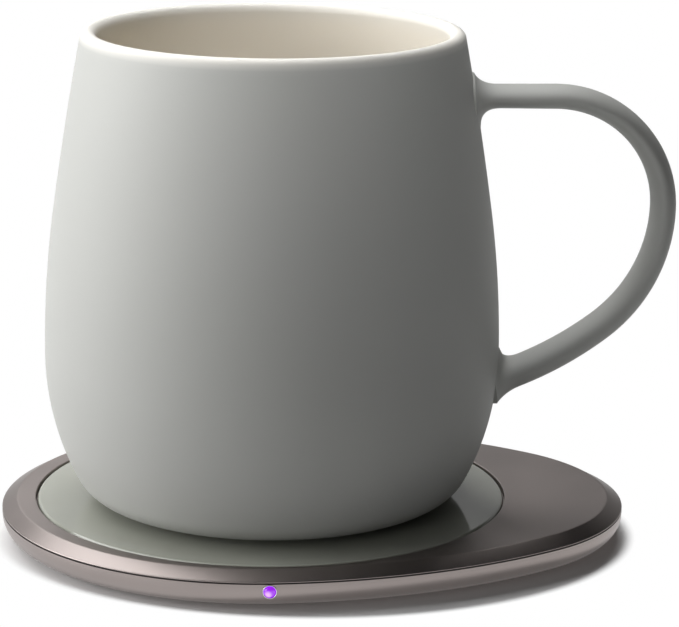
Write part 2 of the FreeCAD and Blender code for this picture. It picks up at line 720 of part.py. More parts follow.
def make_coil_carrier():
    body = new_body("coil_carrier")
    sketch = level_sketch(body, "Plate_outline", carrier_low)
    draw_circle(sketch, size["carrier_radius"])
    draw_circle(sketch, size["hub_bore"])
    pad_up(body, "Plate", sketch, size["carrier_thickness"])
    sketch = level_sketch(body, "Wall_outlines", coil_low)
    draw_circle(sketch, size["carrier_radius"])
    draw_circle(sketch, size["carrier_radius"] - size["carrier_rim"])
    draw_circle(sketch, size["hub_bore"] + size["carrier_rim"])
    draw_circle(sketch, size["hub_bore"])
    pad_up(body, "Rim_and_hub", sketch, size["carrier_wall_height"])
    sketch = level_sketch(body, "Slot_outlines", coil_low)
    half = size["lead_width"] / 2 + size["fit_gap"]
    beyond = size["carrier_radius"] + size["carrier_rim"]
    for start, along in lead_starts():
        along = ZERO if along is None else along
        draw_rectangle(sketch, start - half, beyond, along - half, along + half)
    cut_down(body, "Lead_slots", sketch, size["carrier_thickness"])


def make_ferrite_bars():
    body = new_body("ferrite_bars")
    sketch = level_sketch(body, "Outline", ferrite_low)
    half = size["ferrite_width"] / 2
    draw_rectangle(sketch, size["ferrite_start"], size["ferrite_end"], -half, half)
    bar = pad_up(body, "Bar", sketch, size["ferrite_thickness"])
    pattern = body.newObject("PartDesign::PolarPattern", "Bars")
    pattern.Originals = [bar]
    pattern.Axis = (sketch, ["N_Axis"])
    pattern.Angle = 360
    pattern.Occurrences = FERRITE_COUNT
    body.Tip = pattern
    doc.recompute()


def make_shield_plate():
    ring("shield_plate", size["hub_bore"] / 2, size["carrier_radius"], shield_low, size["shield_thickness"])


def make_sensor():
    body = new_body("sensor_holder")
    sketch = level_sketch(body, "Outline", ferrite_low)
    draw_circle(sketch, size["hub_bore"] - size["fit_gap"])
    pad_up(body, "Post", sketch, coil_top - ferrite_low)
    sketch = level_sketch(body, "Bead_seat_outline", coil_top)
    draw_circle(sketch, size["sensor_radius"])
    cut_down(body, "Bead_seat", sketch, size["sensor_height"] - size["sheet_thickness"])
    body = new_body("temperature_sensor")
    sketch = level_sketch(body, "Outline", disc_low - size["sensor_height"])
    draw_circle(sketch, size["sensor_radius"])
    pad_up(body, "Bead", sketch, size["sensor_height"])


def lead_starts():
    """Where each lead begins and its distance to the side: coil start, coil end and sensor."""
    outer = coil_outer * coil_outer - size["lead_spacing"] * size["lead_spacing"]
    holder = size["hub_bore"] - size["fit_gap"]
    beside = size["sensor_lead_offset"] - size["lead_width"] / 2
    sensor = holder * holder - beside * beside
    return [
        (size["coil_inner"], None),
        (root(outer), -size["lead_spacing"]),
        (root(sensor), size["sensor_lead_offset"]),
    ]


def make_lead(body, name, start, along):
    """A flat lead under the coil from its start straight ahead, bent down to the board."""
    width = size["lead_width"]
    middle = ZERO if along is None else along
    sketch = front_sketch(body, f"{name}_outline", -middle - width / 2)
    end = board_bore + width * 2.5
    low = coil_low - width
    draw_polygon(sketch, [(start, low), (end - width, low), (end - width, board_top), (end, board_top),
                          (end, coil_low), (start, coil_low)])
    lead = pad_up(body, name, sketch, width)
    names = []
    for number, edge in enumerate(lead.Shape.Edges, start=1):
        box = edge.BoundBox
        corner = abs(box.XMin - end.number) < 1e-4 and abs(box.ZMin - coil_low.number) < 1e-4
        if corner and box.YLength > width.number / 2:
            names.append(f"Edge{number}")
    round_edges(body, f"{name}_bend", lead, names, width * 0.9)


def make_leads():
    starts = lead_starts()
    body = new_body("coil_leads")
    make_lead(body, "Inner_lead", *starts[0])
    make_lead(body, "Outer_lead", *starts[1])
    body = new_body("sensor_lead")
    make_lead(body, "Lead", *starts[2])


# Control board and what is on it

def make_control_board():
    body = new_body("control_board")
    sketch = level_sketch(body, "Outline", board_low)
    draw_egg(sketch, size["board_inset"])
    pad_up(body, "Plate", sketch, size["board_thickness"])
    sketch = level_sketch(body, "Bore_outline", board_low)
    draw_circle(sketch, board_bore)
    cut_up(body, "Bore", sketch, size["board_thickness"])
    sketch = level_sketch(body, "Back_outline", board_low)
    half = size["heel_radius"] + size["case_wall"]
    draw_rectangle(sketch, -(half + size["heel_back"]), -size["board_back"], -half, half)
    cut_up(body, "Back", sketch, size["board_thickness"])
    sketch = level_sketch(body, "Hole_outlines", board_low)
    for across, along in screw_places[3:]:
        draw_circle(sketch, size["case_boss_radius"] + size["fit_gap"] * 2, across, along)
    for across, along in board_screw_places:
        draw_circle(sketch, size["board_screw_radius"] + size["running_gap"], across, along)
    cut_up(body, "Holes", sketch, size["board_thickness"])
    sketch = level_sketch(body, "Inlet_outline", board_low)
    inlet_half = size["inlet_width"] / 2 + size["running_gap"]
    inner_end = side_reach - size["inlet_setback"] - size["inlet_depth"] - size["running_gap"]
    draw_rectangle(sketch, -inlet_half, inlet_half, inner_end, half)
    cut_up(body, "Inlet_cutout", sketch, size["board_thickness"])


def make_board_screws():
    body = new_body("board_screws")
    sketch = level_sketch(body, "Shank_outlines", floor_top)
    for across, along in board_screw_places:
        draw_circle(sketch, size["board_screw_radius"], across, along)
    pad_up(body, "Shanks", sketch, board_top - floor_top)
    sketch = level_sketch(body, "Head_outlines", board_top)
    for across, along in board_screw_places:
        draw_circle(sketch, size["board_head_radius"], across, along)
    pad_up(body, "Heads", sketch, size["board_head_height"])


def make_board_parts():
    row = board_bore + size["parts_margin"]
    chip = size["chip_side"]
    blocks("microcontroller", board_top, size["chip_height"],
           [around(row + chip * 1.4, -chip * 2, chip, chip)])
    blocks("power_inductor", board_top, size["choke_height"],
           [around(row + chip / 2, None, size["choke_side"], size["choke_side"])])
    tank_ahead = size["nose_ahead"] + size["tank_ahead"]
    aside = size["choke_side"] / 2 + size["switch_width"]
    blocks("power_transistors", board_top, size["switch_height"],
           [around(row, aside, size["switch_length"], size["switch_width"]),
            around(row, -aside - size["switch_width"], size["switch_length"], size["switch_width"])])
    blocks("tank_capacitors", board_top, size["tank_height"],
           [around(tank_ahead, size["tank_side"], size["tank_length"], size["tank_width"]),
            around(tank_ahead, -size["tank_side"], size["tank_length"], size["tank_width"])])
    places = []
    for step in range(-2, 3):
        along = size["small_step"] * step
        places.append(around(board_bore + size["small_margin"], along, size["small_length"],
                             size["small_width"]))
    blocks("small_chip_parts", board_top, size["small_height"], places)


# Status light at the front, power inlet at the back

def make_status_light():
    half = size["lamp_width"] / 2
    lamp_front = side_reach - size["case_wall"] - size["flange_thickness"] - size["fit_gap"]
    blocks("status_lamp", board_top, size["lamp_height"],
           [(-half, half, -lamp_front, -(lamp_front - size["lamp_depth"]))])

    body = new_body("status_lens")
    wall_inside = side_reach - size["case_wall"]
    sketch = front_sketch(body, "Flange_outline", wall_inside - size["flange_thickness"])
    draw_circle(sketch, flange_radius, None, light_height)
    pad_up(body, "Flange", sketch, size["flange_thickness"] - size["running_gap"])
    sketch = front_sketch(body, "Lens_outline", wall_inside - size["flange_thickness"])
    draw_circle(sketch, size["light_radius"], None, light_height)
    reach = size["flange_thickness"] + size["case_wall"] + size["light_proud"]
    lens = pad_up(body, "Lens", sketch, reach)
    front = side_reach + size["light_proud"]
    names = []
    for number, edge in enumerate(lens.Shape.Edges, start=1):
        if abs(edge.BoundBox.YMin + front.number) < 1e-4 and abs(edge.BoundBox.YMax + front.number) < 1e-4:
            names.append(f"Edge{number}")
    round_edges(body, "Dome", lens, names, size["light_round"])

    body = new_body("light_ring")
    sketch = front_sketch(body, "Outline", side_reach - size["ring_depth"])
    draw_circle(sketch, ring_radius, None, light_height)
    draw_circle(sketch, ring_radius - size["ring_wall"], None, light_height)
    pad_up(body, "Ring", sketch, size["ring_depth"])


def make_power_inlet():
    mouth = side_reach - size["inlet_setback"]
    body = new_body("inlet_shell")
    sketch = front_sketch(body, "Outline", -mouth)
    draw_slot(sketch, size["inlet_width"], size["inlet_height"], inlet_axis)
    pad_up(body, "Shell", sketch, size["inlet_depth"])
    sketch = front_sketch(body, "Mouth_outline", -mouth)
    twice = size["inlet_wall"] * 2
    draw_slot(sketch, size["inlet_width"] - twice, size["inlet_height"] - twice, inlet_axis)
    cut_up(body, "Mouth", sketch, size["inlet_depth"] - size["inlet_wall"])
    body = new_body("inlet_tongue")
    sketch = front_sketch(body, "Outline", -(mouth - size["inlet_tongue_setback"]))
    half = size["inlet_tongue_width"] / 2
    low = inlet_axis - size["inlet_tongue_height"] / 2
    draw_rectangle(sketch, -half, half, low, low + size["inlet_tongue_height"])
    pad_up(body, "Tongue", sketch, size["inlet_depth"] - size["inlet_wall"] - size["inlet_tongue_setback"])


# Mug with its handle and heating layer

def side_sketch(body, name, distance=ZERO):
    """An upright sketch, square to X and so far ahead of the disc's centre."""
    return new_sketch(body, name, "YZ_Plane", distance)


def draw_mug_side(sketch, inset, bottom):
    """The mug's side as five tangent arcs: half of the lip, the upper body, the belly, the lower body and the
    turn into a level bottom. An inset moves the middle three inwards round the same centres."""
    inside = inset.number > 0
    lip = size["mug_lip"].number
    waist = mug_low + size["mug_waist"]
    rim = mug_low + size["mug_height"]
    widest = size["mug_radius"] - inset
    upper = size["mug_upper_curve"] - inset
    belly = size["mug_belly_curve"] - inset
    lower = size["mug_lower_curve"] - inset
    fall = (size["mug_waist"] - size["mug_belly_end"]) / size["mug_belly_curve"]
    belly_end = waist - belly * fall
    lower_middle = waist - (size["mug_belly_curve"] - size["mug_lower_curve"]) * fall
    bend = (lower_middle - mug_low - size["mug_lower_end"]) / size["mug_lower_curve"]
    lower_end = lower_middle - lower * bend
    fall_angle = math.asin(fall.number)
    bend_angle = math.asin(bend.number)
    rise_angle = math.asin((rim.number - lip - waist.number) / (upper.number + (lip if inside else -lip)))
    upper_centre = spot(widest - upper, waist)
    belly_centre = spot(widest - belly, waist)
    lower_centre = belly_centre + FreeCAD.Vector(math.cos(fall_angle), -math.sin(fall_angle), 0) * (
        belly.number - lower.number)
    last = (lower_end.number - bottom.number) / (1 - bend.number)
    last_centre = lower_centre + FreeCAD.Vector(math.cos(bend_angle), -math.sin(bend_angle), 0) * (
        lower.number - last)
    upper_arc = draw_arc(sketch, upper_centre, upper.number, 0.0, rise_angle)
    belly_arc = draw_arc(sketch, belly_centre, belly.number, -fall_angle, 0.0)
    lower_arc = draw_arc(sketch, lower_centre, lower.number, -bend_angle, -fall_angle)
    last_arc = draw_arc(sketch, last_centre, last, -math.pi / 2, -bend_angle)
    lip_centre = upper_centre + FreeCAD.Vector(math.cos(rise_angle), math.sin(rise_angle), 0) * (
        upper.number + (lip if inside else -lip))
    if inside:
        lip_arc = draw_arc(sketch, lip_centre, lip, math.pi / 2, math.pi + rise_angle)
    else:
        lip_arc = draw_arc(sketch, lip_centre, lip, rise_angle, math.pi / 2)
    lip_top = 1 if inside else 2
    sketch.addConstraint(Sketcher.Constraint("Tangent", upper_arc, 2, lip_arc, 3 - lip_top))
    sketch.addConstraint(Sketcher.Constraint("Vertical", lip_arc, 3, lip_arc, lip_top))
    for arc, following in [(upper_arc, belly_arc), (belly_arc, lower_arc), (lower_arc, last_arc)]:
        sketch.addConstraint(Sketcher.Constraint("Tangent", arc, 1, following, 2))
    pin(sketch, upper_arc, 1, widest, waist)
    sketch.addConstraint(Sketcher.Constraint("Horizontal", upper_arc, 3, upper_arc, 1))
    radii = [(upper_arc, upper), (belly_arc, belly), (lower_arc, lower), (lip_arc, size["mug_lip"])]
    for arc, radius in radii:
        tie(sketch, "Radius", (arc,), radius)
    tie(sketch, "DistanceY", (-1, 1, lip_arc, lip_top), rim)
    tie(sketch, "DistanceY", (-1, 1, belly_arc, 1), belly_end)
    tie(sketch, "DistanceY", (-1, 1, lower_arc, 1), lower_end)
    tie(sketch, "DistanceY", (-1, 1, last_arc, 1), bottom)
    sketch.addConstraint(Sketcher.Constraint("Vertical", last_arc, 3, last_arc, 1))
    return lip_arc, lip_top, last_arc


def close_to_axis(sketch, side, corners):
    """Straight lines from the side's lower end through the corners to the axis, up it and out to the rim."""
    lip_arc, lip_top, last_arc = side
    rim = mug_low + size["mug_height"]
    inside = [spot(across, along) for across, along in corners]
    points = [sketch.getPoint(last_arc, 1)] + inside + [spot(None, rim), sketch.getPoint(lip_arc, lip_top)]
    lines = []
    for start, end in zip(points, points[1:]):
        lines.append(sketch.addGeometry(Part.LineSegment(start, end)))
    sketch.addConstraint(Sketcher.Constraint("Coincident", last_arc, 1, lines[0], 1))
    for line, following in zip(lines, lines[1:]):
        sketch.addConstraint(Sketcher.Constraint("Coincident", line, 2, following, 1))
    sketch.addConstraint(Sketcher.Constraint("Coincident", lines[-1], 2, lip_arc, lip_top))
    for line, (across, along) in zip(lines, corners):
        pin(sketch, line, 2, across, along)
    pin(sketch, lines[-1], 1, None, rim)


def make_handle(body):
    """The handle: a level run out of the wall, a round bend, a long sweep back and a straight tail, swept
    with an oval that grows towards the lower root."""
    top = mug_low + size["handle_top"]
    bend = size["handle_bend"]
    sweep = size["handle_sweep"]
    angle = size["handle_sweep_angle"]
    middle = top - bend
    bend_across = size["handle_bend_centre"]
    sweep_across = bend_across + bend - sweep
    joint_across = sweep_across + sweep * cosine(angle)
    joint_height = middle - sweep * sine(angle)
    tail_across = joint_across - size["handle_tail"] * sine(angle)
    tail_height = joint_height - size["handle_tail"] * cosine(angle)
    turn_angle = math.radians(angle.number)
    path = front_sketch(body, "Handle_path", ZERO)
    joint = spot(joint_across, joint_height)
    tail_end = spot(tail_across, tail_height)
    run = path.addGeometry(Part.LineSegment(spot(size["handle_start"], top), spot(bend_across, top)))
    bend_arc = draw_arc(path, spot(bend_across, middle), bend.number, 0.0, math.pi / 2)
    sweep_arc = draw_arc(path, spot(sweep_across, middle), sweep.number, -turn_angle, 0.0)
    tail = path.addGeometry(Part.LineSegment(joint, tail_end))
    path.addConstraint(Sketcher.Constraint("Tangent", run, 2, bend_arc, 2))
    path.addConstraint(Sketcher.Constraint("Tangent", bend_arc, 1, sweep_arc, 2))
    path.addConstraint(Sketcher.Constraint("Tangent", sweep_arc, 1, tail, 1))
    pin(path, run, 1, size["handle_start"], top)
    pin(path, bend_arc, 3, bend_across, middle)
    tie(path, "Radius", (sweep_arc,), sweep)
    pin(path, tail, 1, joint_across, joint_height)
    tie(path, "Distance", (tail,), size["handle_tail"])

    start = side_sketch(body, "Upper_section", size["handle_start"])
    draw_oval(start, size["handle_width"], size["handle_thickness"], top)
    finish = side_sketch(body, "Lower_section", tail_across)
    tilt = angle - 90
    turned = FreeCAD.Rotation(FreeCAD.Vector(1, 0, 0), tilt.number)
    moved = FreeCAD.Vector(0, tail_height.number, tail_across.number)
    finish.AttachmentOffset = FreeCAD.Placement(moved, turned)
    finish.setExpression(".AttachmentOffset.Base.y", tail_height.words)
    finish.setExpression(".AttachmentOffset.Base.z", tail_across.words)
    finish.setExpression(".AttachmentOffset.Rotation.Angle", tilt.words)
    draw_oval(finish, size["handle_width_low"], size["handle_thickness_low"], None)
    doc.recompute()
    handle = body.newObject("PartDesign::AdditivePipe", "Handle")
    handle.Profile = start
    handle.Spine = (path, ["Edge1", "Edge2", "Edge3", "Edge4"])
    handle.Transformation = "Multisection"
    handle.Sections = [finish]
    doc.recompute()
    return handle


def draw_oval(sketch, width, height, along):
    """An ellipse, wider than high, centred on the upright axis."""
    middle = spot(None, along)
    east = middle + FreeCAD.Vector(width.number / 2, 0, 0)
    north = middle + FreeCAD.Vector(0, height.number / 2, 0)
    shape = sketch.addGeometry(Part.Ellipse(east, north, middle))
    sketch.exposeInternalGeometry(shape)
    pin(sketch, shape, 3, None, along)
    sketch.addConstraint(Sketcher.Constraint("Horizontal", shape + 1))
    tie(sketch, "Distance", (shape + 1,), width)
    tie(sketch, "Distance", (shape + 2,), height)


def root_edges(feature):
    """The edges where the handle leaves the turned body."""
    names = []
    half = size["handle_width_low"].number / 2 + size["fit_gap"].number
    for number, edge in enumerate(feature.Shape.Edges, start=1):
        box = edge.BoundBox
        near = box.XMin > size["handle_start"].number - size["mug_wall"].number
        inside = box.XMax < size["mug_radius"].number + size["fit_gap"].number
        if near and inside and box.YMax < half and box.YMin > -half:
            names.append(f"Edge{number}")
    return names


def place_mug(body):
    """Moves a body of the mug, drawn round the disc's axis, to where the mug stands."""
    body.setExpression(".Placement.Base.x", size["mug_ahead"].words)
    body.setExpression(".Placement.Base.y", (-size["mug_in_front"]).words)
    doc.recompute()


def make_mug():
    body = new_body("mug")
    ring_top = mug_low + size["foot_ring_height"]
    edge = size["foot_ring_edge"]
    sketch = side_sketch(body, "Outside")
    side = draw_mug_side(sketch, ZERO, ring_top)
    ring_corners = [(size["foot_ring_radius"], ring_top), (size["foot_ring_radius"], mug_low + edge),
                    (size["foot_ring_radius"] - edge, mug_low), (None, mug_low)]
    close_to_axis(sketch, side, ring_corners)
    turn(body, "PartDesign::Revolution", "Turned_body", sketch)
    handle = make_handle(body)
    round_edges(body, "Handle_roots", handle, root_edges(handle), size["handle_fillet"])

    sketch = side_sketch(body, "Inside")
    bottom = ring_top + size["mug_floor"]
    side = draw_mug_side(sketch, size["mug_wall"], bottom)
    close_to_axis(sketch, side, [(None, bottom)])
    turn(body, "PartDesign::Groove", "Hollow", sketch)
    sketch = level_sketch(body, "Recess_outline", mug_low)
    draw_circle(sketch, size["foot_ring_radius"] - size["foot_ring_width"])
    cut_up(body, "Foot_recess", sketch, size["foot_ring_height"])

    place_mug(body)
    body = new_body("heating_layer")
    sketch = level_sketch(body, "Outline", ring_top - size["film_thickness"])
    draw_circle(sketch, size["foot_ring_radius"] - size["foot_ring_width"] - size["film_margin"])
    pad_up(body, "Layer", sketch, size["film_thickness"])
    place_mug(body)


for step in (make_foot_pad, make_lower_case, make_case_seal, make_upper_cover, make_top_disc,
             make_case_screws, make_induction_coil, make_coil_carrier, make_ferrite_bars,
             make_shield_plate, make_sensor, make_leads, make_control_board, make_board_screws,
             make_board_parts, make_status_light, make_power_inlet, make_mug):
    step()
ring("disc_tape", window_radius + size["tape_margin"], disc_radius - size["tape_margin"],
     ledge_top, size["tape_thickness"])
ring("insulation_sheet", size["hub_bore"], window_radius - size["fit_gap"] * 2, coil_top,
     size["sheet_thickness"])

# Every piece is checked, then written

doc.recompute()
for item in doc.Objects:
    if "Invalid" in item.State or "Error" in item.State:
        raise RuntimeError(f"{item.Label} is {item.State}")
os.makedirs("parts", exist_ok=True)
for body in doc.findObjects("PartDesign::Body"):
    if body.Shape.isNull() or not body.Shape.isValid():
        raise RuntimeError(f"{body.Label} has no valid shape")
    body.Shape.exportStep(f"parts/{body.Label}.step")
    box = body.Shape.BoundBox
    print(f"{body.Label:20s} solids {len(body.Shape.Solids)} volume {body.Shape.Volume:9.1f} "
          f"z {box.ZMin:6.2f} {box.ZMax:6.2f}")
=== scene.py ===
import bpy
import json
import math
import numpy as np
from mathutils import Matrix, Vector


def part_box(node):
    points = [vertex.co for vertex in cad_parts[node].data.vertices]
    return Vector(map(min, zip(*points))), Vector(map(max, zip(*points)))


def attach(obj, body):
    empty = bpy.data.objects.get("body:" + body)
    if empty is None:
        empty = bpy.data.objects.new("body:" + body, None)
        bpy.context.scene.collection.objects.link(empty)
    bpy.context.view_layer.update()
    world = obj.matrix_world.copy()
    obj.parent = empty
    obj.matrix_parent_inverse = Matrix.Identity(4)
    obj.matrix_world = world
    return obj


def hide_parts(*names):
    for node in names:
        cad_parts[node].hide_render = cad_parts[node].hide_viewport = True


# Mug warmer: a satin bronze pad with a glossy round disc, and the matte stoneware mug that stands on it.
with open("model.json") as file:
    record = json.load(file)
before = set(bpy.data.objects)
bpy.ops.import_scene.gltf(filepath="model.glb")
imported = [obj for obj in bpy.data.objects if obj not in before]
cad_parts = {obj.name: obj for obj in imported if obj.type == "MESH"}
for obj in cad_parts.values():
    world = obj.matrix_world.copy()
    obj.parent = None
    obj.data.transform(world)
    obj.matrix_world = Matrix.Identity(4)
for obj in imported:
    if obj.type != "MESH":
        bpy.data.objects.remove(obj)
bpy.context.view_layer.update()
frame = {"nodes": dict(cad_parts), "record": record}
nodes = frame["nodes"]
mm = 0.001  # the shapes below are worked out in millimetres, in the frame of the CAD
print("frame loaded,", len(nodes), "nodes")


# Mesh tools: a grid of points becomes a closed surface.

def closedShell(grid, poleStart=None, poleEnd=None):
    # Rows of rings. The rings close on themselves; with poles the end rings close in a fan, without them
    # the last row joins the first. The signed volume tells which way the faces point.
    rows, columns = grid.shape[:2]
    index = np.arange(rows * columns).reshape(rows, columns)
    beside = np.roll(index, -1, axis=1)
    vertices = grid.reshape(-1, 3)
    if poleStart is None:
        quads = np.stack([index, beside, np.roll(beside, -1, axis=0), np.roll(index, -1, axis=0)], axis=-1)
        triangles = np.empty((0, 3), int)
    else:
        quads = np.stack([index[:-1], beside[:-1], beside[1:], index[1:]], axis=-1)
        start = np.full(columns, rows * columns)
        triangles = np.concatenate([np.stack([start, beside[0], index[0]], axis=-1),
                                    np.stack([start + 1, index[-1], beside[-1]], axis=-1)])
        vertices = np.concatenate([vertices, [poleStart, poleEnd]])
    quads = quads.reshape(-1, 4)
    corners = vertices[np.concatenate([triangles, quads[:, :3], quads[:, [0, 2, 3]]])]
    volume = np.einsum("ij,ij->", corners[:, 0], np.cross(corners[:, 1], corners[:, 2]))
    if volume < 0:
        quads, triangles = quads[:, ::-1], triangles[:, ::-1]
    return vertices, quads, triangles


def makePiece(name, shells, body, node, slotName, sharpAngle=32, marks=None):
    # One object from closed shells, in metres, smooth but for edges sharper than sharpAngle degrees.
    # Marks are values on its points that the material reads by name.
    counts = np.cumsum([0] + [len(vertices) for vertices, _, _ in shells])
    vertices = np.concatenate([shell[0] for shell in shells]) * mm
    faces = []
    for (_, quads, triangles), offset in zip(shells, counts):
        faces += (quads + offset).tolist() + (triangles + offset).tolist()
    mesh = bpy.data.meshes.new(name)
    mesh.from_pydata(vertices.tolist(), [], faces)
    mesh.polygons.foreach_set("use_smooth", np.ones(len(mesh.polygons), bool))
    mesh.set_sharp_from_angle(angle=math.radians(sharpAngle))
    for markName, values in (marks or {}).items():
        mark = mesh.attributes.new(markName, "FLOAT", "POINT")
        mark.data.foreach_set("value", np.asarray(values, np.float32))
    mesh.materials.append(finishes[slotName].material)
    mesh.update()
    piece = bpy.data.objects.new(name, mesh)
    bpy.context.scene.collection.objects.link(piece)
    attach(piece, body)
    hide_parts(node)
    return piece


def arc(centreAcross, centreUp, radius, startAngle, endAngle, count):
    # Points of an arc, angles in radians.
    turn = np.linspace(startAngle, endAngle, count)
    return np.stack([centreAcross + radius * np.cos(turn), centreUp + radius * np.sin(turn)], axis=-1)


def turned(profile, columns, axis=(0.0, 0.0)):
    # The profile (radius, height) turned about an upright axis: x = ax + r cos t, y = ay + r sin t, z = h.
    turn = np.linspace(0, 2 * np.pi, columns, endpoint=False)
    radius, height = profile[:, :1], profile[:, 1:]
    flat = np.zeros((1, columns))
    across, aside = axis[0] + radius * np.cos(turn), axis[1] + radius * np.sin(turn)
    return np.stack([across, aside, height + flat], axis=-1)


def softStep(value, low, high):
    # 0 below low, 1 above high, smooth between.
    part = np.clip((value - low) / (high - low), 0, 1)
    return part * part * (3 - 2 * part)


# Material tools: shared groups give masks and heights, the shaders stay in each material.

def newGroup(name, inputs, outputs):
    group = bpy.data.node_groups.new(name, "ShaderNodeTree")
    for label, kind, value in inputs:
        socket = group.interface.new_socket(label, in_out="INPUT", socket_type=kind)
        if value is not None:
            socket.default_value = value
    for label, kind in outputs:
        group.interface.new_socket(label, in_out="OUTPUT", socket_type=kind)
    return group, group.nodes.new("NodeGroupInput"), group.nodes.new("NodeGroupOutput")


def fill(tree, socket, value):
    # A socket takes a link from another socket, or a plain value.
    if isinstance(value, bpy.types.NodeSocket):
        tree.links.new(value, socket)
    else:
        socket.default_value = value


def calculate(tree, operation, *values, clamp=False):
    node = tree.nodes.new("ShaderNodeMath")
    node.operation, node.use_clamp = operation, clamp
    for socket, value in zip(node.inputs, values):
        fill(tree, socket, value)
    return node.outputs[0]


def mixColours(tree, factor, first, second):
    node = tree.nodes.new("ShaderNodeMix")
    node.data_type = "RGBA"
    tree.links.new(factor, node.inputs["Factor"])
    sockets = [item for item in node.inputs if item.type == "RGBA"]
    for socket, colour in zip(sockets, (first, second)):
        fill(tree, socket, colour if isinstance(colour, bpy.types.NodeSocket) else (*colour, 1.0))
    return [item for item in node.outputs if item.type == "RGBA"][0]


def softFade(tree, value, low, high, first=0.0, last=1.0):
    # first where the value is low, last where it is high, smooth between.
    node = tree.nodes.new("ShaderNodeMapRange")
    node.interpolation_type = "SMOOTHSTEP"
    for label, number in (("From Min", low), ("From Max", high), ("To Min", first), ("To Max", last)):
        node.inputs[label].default_value = number
    tree.links.new(value, node.inputs["Value"])
    return node.outputs["Result"]


grainShape = {"fineDetail": 2.0, "cloudDetail": 3.0, "cloudShare": 0.25}


def makeGrainGroup():
    # Fine grain with slow clouds over it: Fine and Cloud lie between 0 and 1, Height feeds a Bump node.
    group, given, result = newGroup(
        "fineGrain",
        [("Vector", "NodeSocketVector", None), ("Fine Scale", "NodeSocketFloat", 4000.0),
         ("Cloud Scale", "NodeSocketFloat", 40.0)],
        [("Fine", "NodeSocketFloat"), ("Cloud", "NodeSocketFloat"), ("Height", "NodeSocketFloat")])
    noises = {}
    for label, detail in (("Fine", grainShape["fineDetail"]), ("Cloud", grainShape["cloudDetail"])):
        noises[label] = group.nodes.new("ShaderNodeTexNoise")
        noises[label].inputs["Detail"].default_value = detail
        group.links.new(given.outputs["Vector"], noises[label].inputs["Vector"])
        group.links.new(given.outputs[label + " Scale"], noises[label].inputs["Scale"])
        group.links.new(noises[label].outputs["Fac"], result.inputs[label])
    height = calculate(group, "MULTIPLY_ADD", noises["Cloud"].outputs["Fac"], grainShape["cloudShare"],
                       noises["Fine"].outputs["Fac"])
    group.links.new(height, result.inputs["Height"])
    return group


grainGroup = makeGrainGroup()
noiseLow, noiseHigh = 0.3, 0.7  # most of a noise lies between these
bumpDepth = 0.02  # millimetres, times the look's own bump


class Finish:
    # A material under construction: its Principled shader, grain and coordinates.
    def __init__(self, name, look):
        self.material = bpy.data.materials.new(name)
        self.material.use_nodes = True
        self.tree = self.material.node_tree
        self.shader = self.tree.nodes["Principled BSDF"]
        self.place = self.add("ShaderNodeTexCoord").outputs["Object"]
        for label, value in look["shader"].items():
            self.shader.inputs[label].default_value = value
        self.grain = self.add("ShaderNodeGroup")
        self.grain.node_tree = grainGroup
        self.grain.inputs["Fine Scale"].default_value = look["fineScale"]
        self.grain.inputs["Cloud Scale"].default_value = look["cloudScale"]
        self.link(self.place, self.grain.inputs["Vector"])
        self.colour = mixColours(self.tree, self.grain.outputs["Cloud"], look["dark"], look["light"])
        self.link(self.colour, self.shader.inputs["Base Color"])
        roughness = self.range(self.grain.outputs["Cloud"], look["smooth"], look["rough"])
        self.link(roughness, self.shader.inputs["Roughness"])
        bump = self.add("ShaderNodeBump")
        bump.inputs["Strength"].default_value = look["bump"]
        bump.inputs["Distance"].default_value = bumpDepth * mm
        self.link(self.grain.outputs["Height"], bump.inputs["Height"])
        self.link(bump.outputs["Normal"], self.shader.inputs["Normal"])

    def add(self, kind):
        return self.tree.nodes.new(kind)

    def link(self, start, end):
        self.tree.links.new(start, end)

    def range(self, value, low, high):
        # Spreads the middle of a noise, where most of it lies, over low to high.
        node = self.add("ShaderNodeMapRange")
        ends = {"From Min": noiseLow, "From Max": noiseHigh, "To Min": low, "To Max": high}
        for label, number in ends.items():
            node.inputs[label].default_value = number
        self.link(value, node.inputs["Value"])
        return node.outputs["Result"]

    def mark(self, name):
        # A value that the piece carries on its points.
        node = self.add("ShaderNodeAttribute")
        node.attribute_name = name
        return node.outputs["Fac"]


# A look has two colours that clouds blend, the ends of its roughness, the depth of its grain and the
# scales of both noises, per metre. Other sockets of the shader go by their own names.

def metalLook(dark, light, smooth, rough, bump=0.15, fineScale=6000.0, cloudScale=60.0):
    return dict(shader={"Metallic": 1.0}, dark=dark, light=light, smooth=smooth, rough=rough, bump=bump,
                fineScale=fineScale, cloudScale=cloudScale)


def plainLook(dark, light, smooth, rough, bump=0.2, fineScale=3000.0, cloudScale=80.0, **shader):
    return dict(shader=shader, dark=dark, light=light, smooth=smooth, rough=rough, bump=bump,
                fineScale=fineScale, cloudScale=cloudScale)


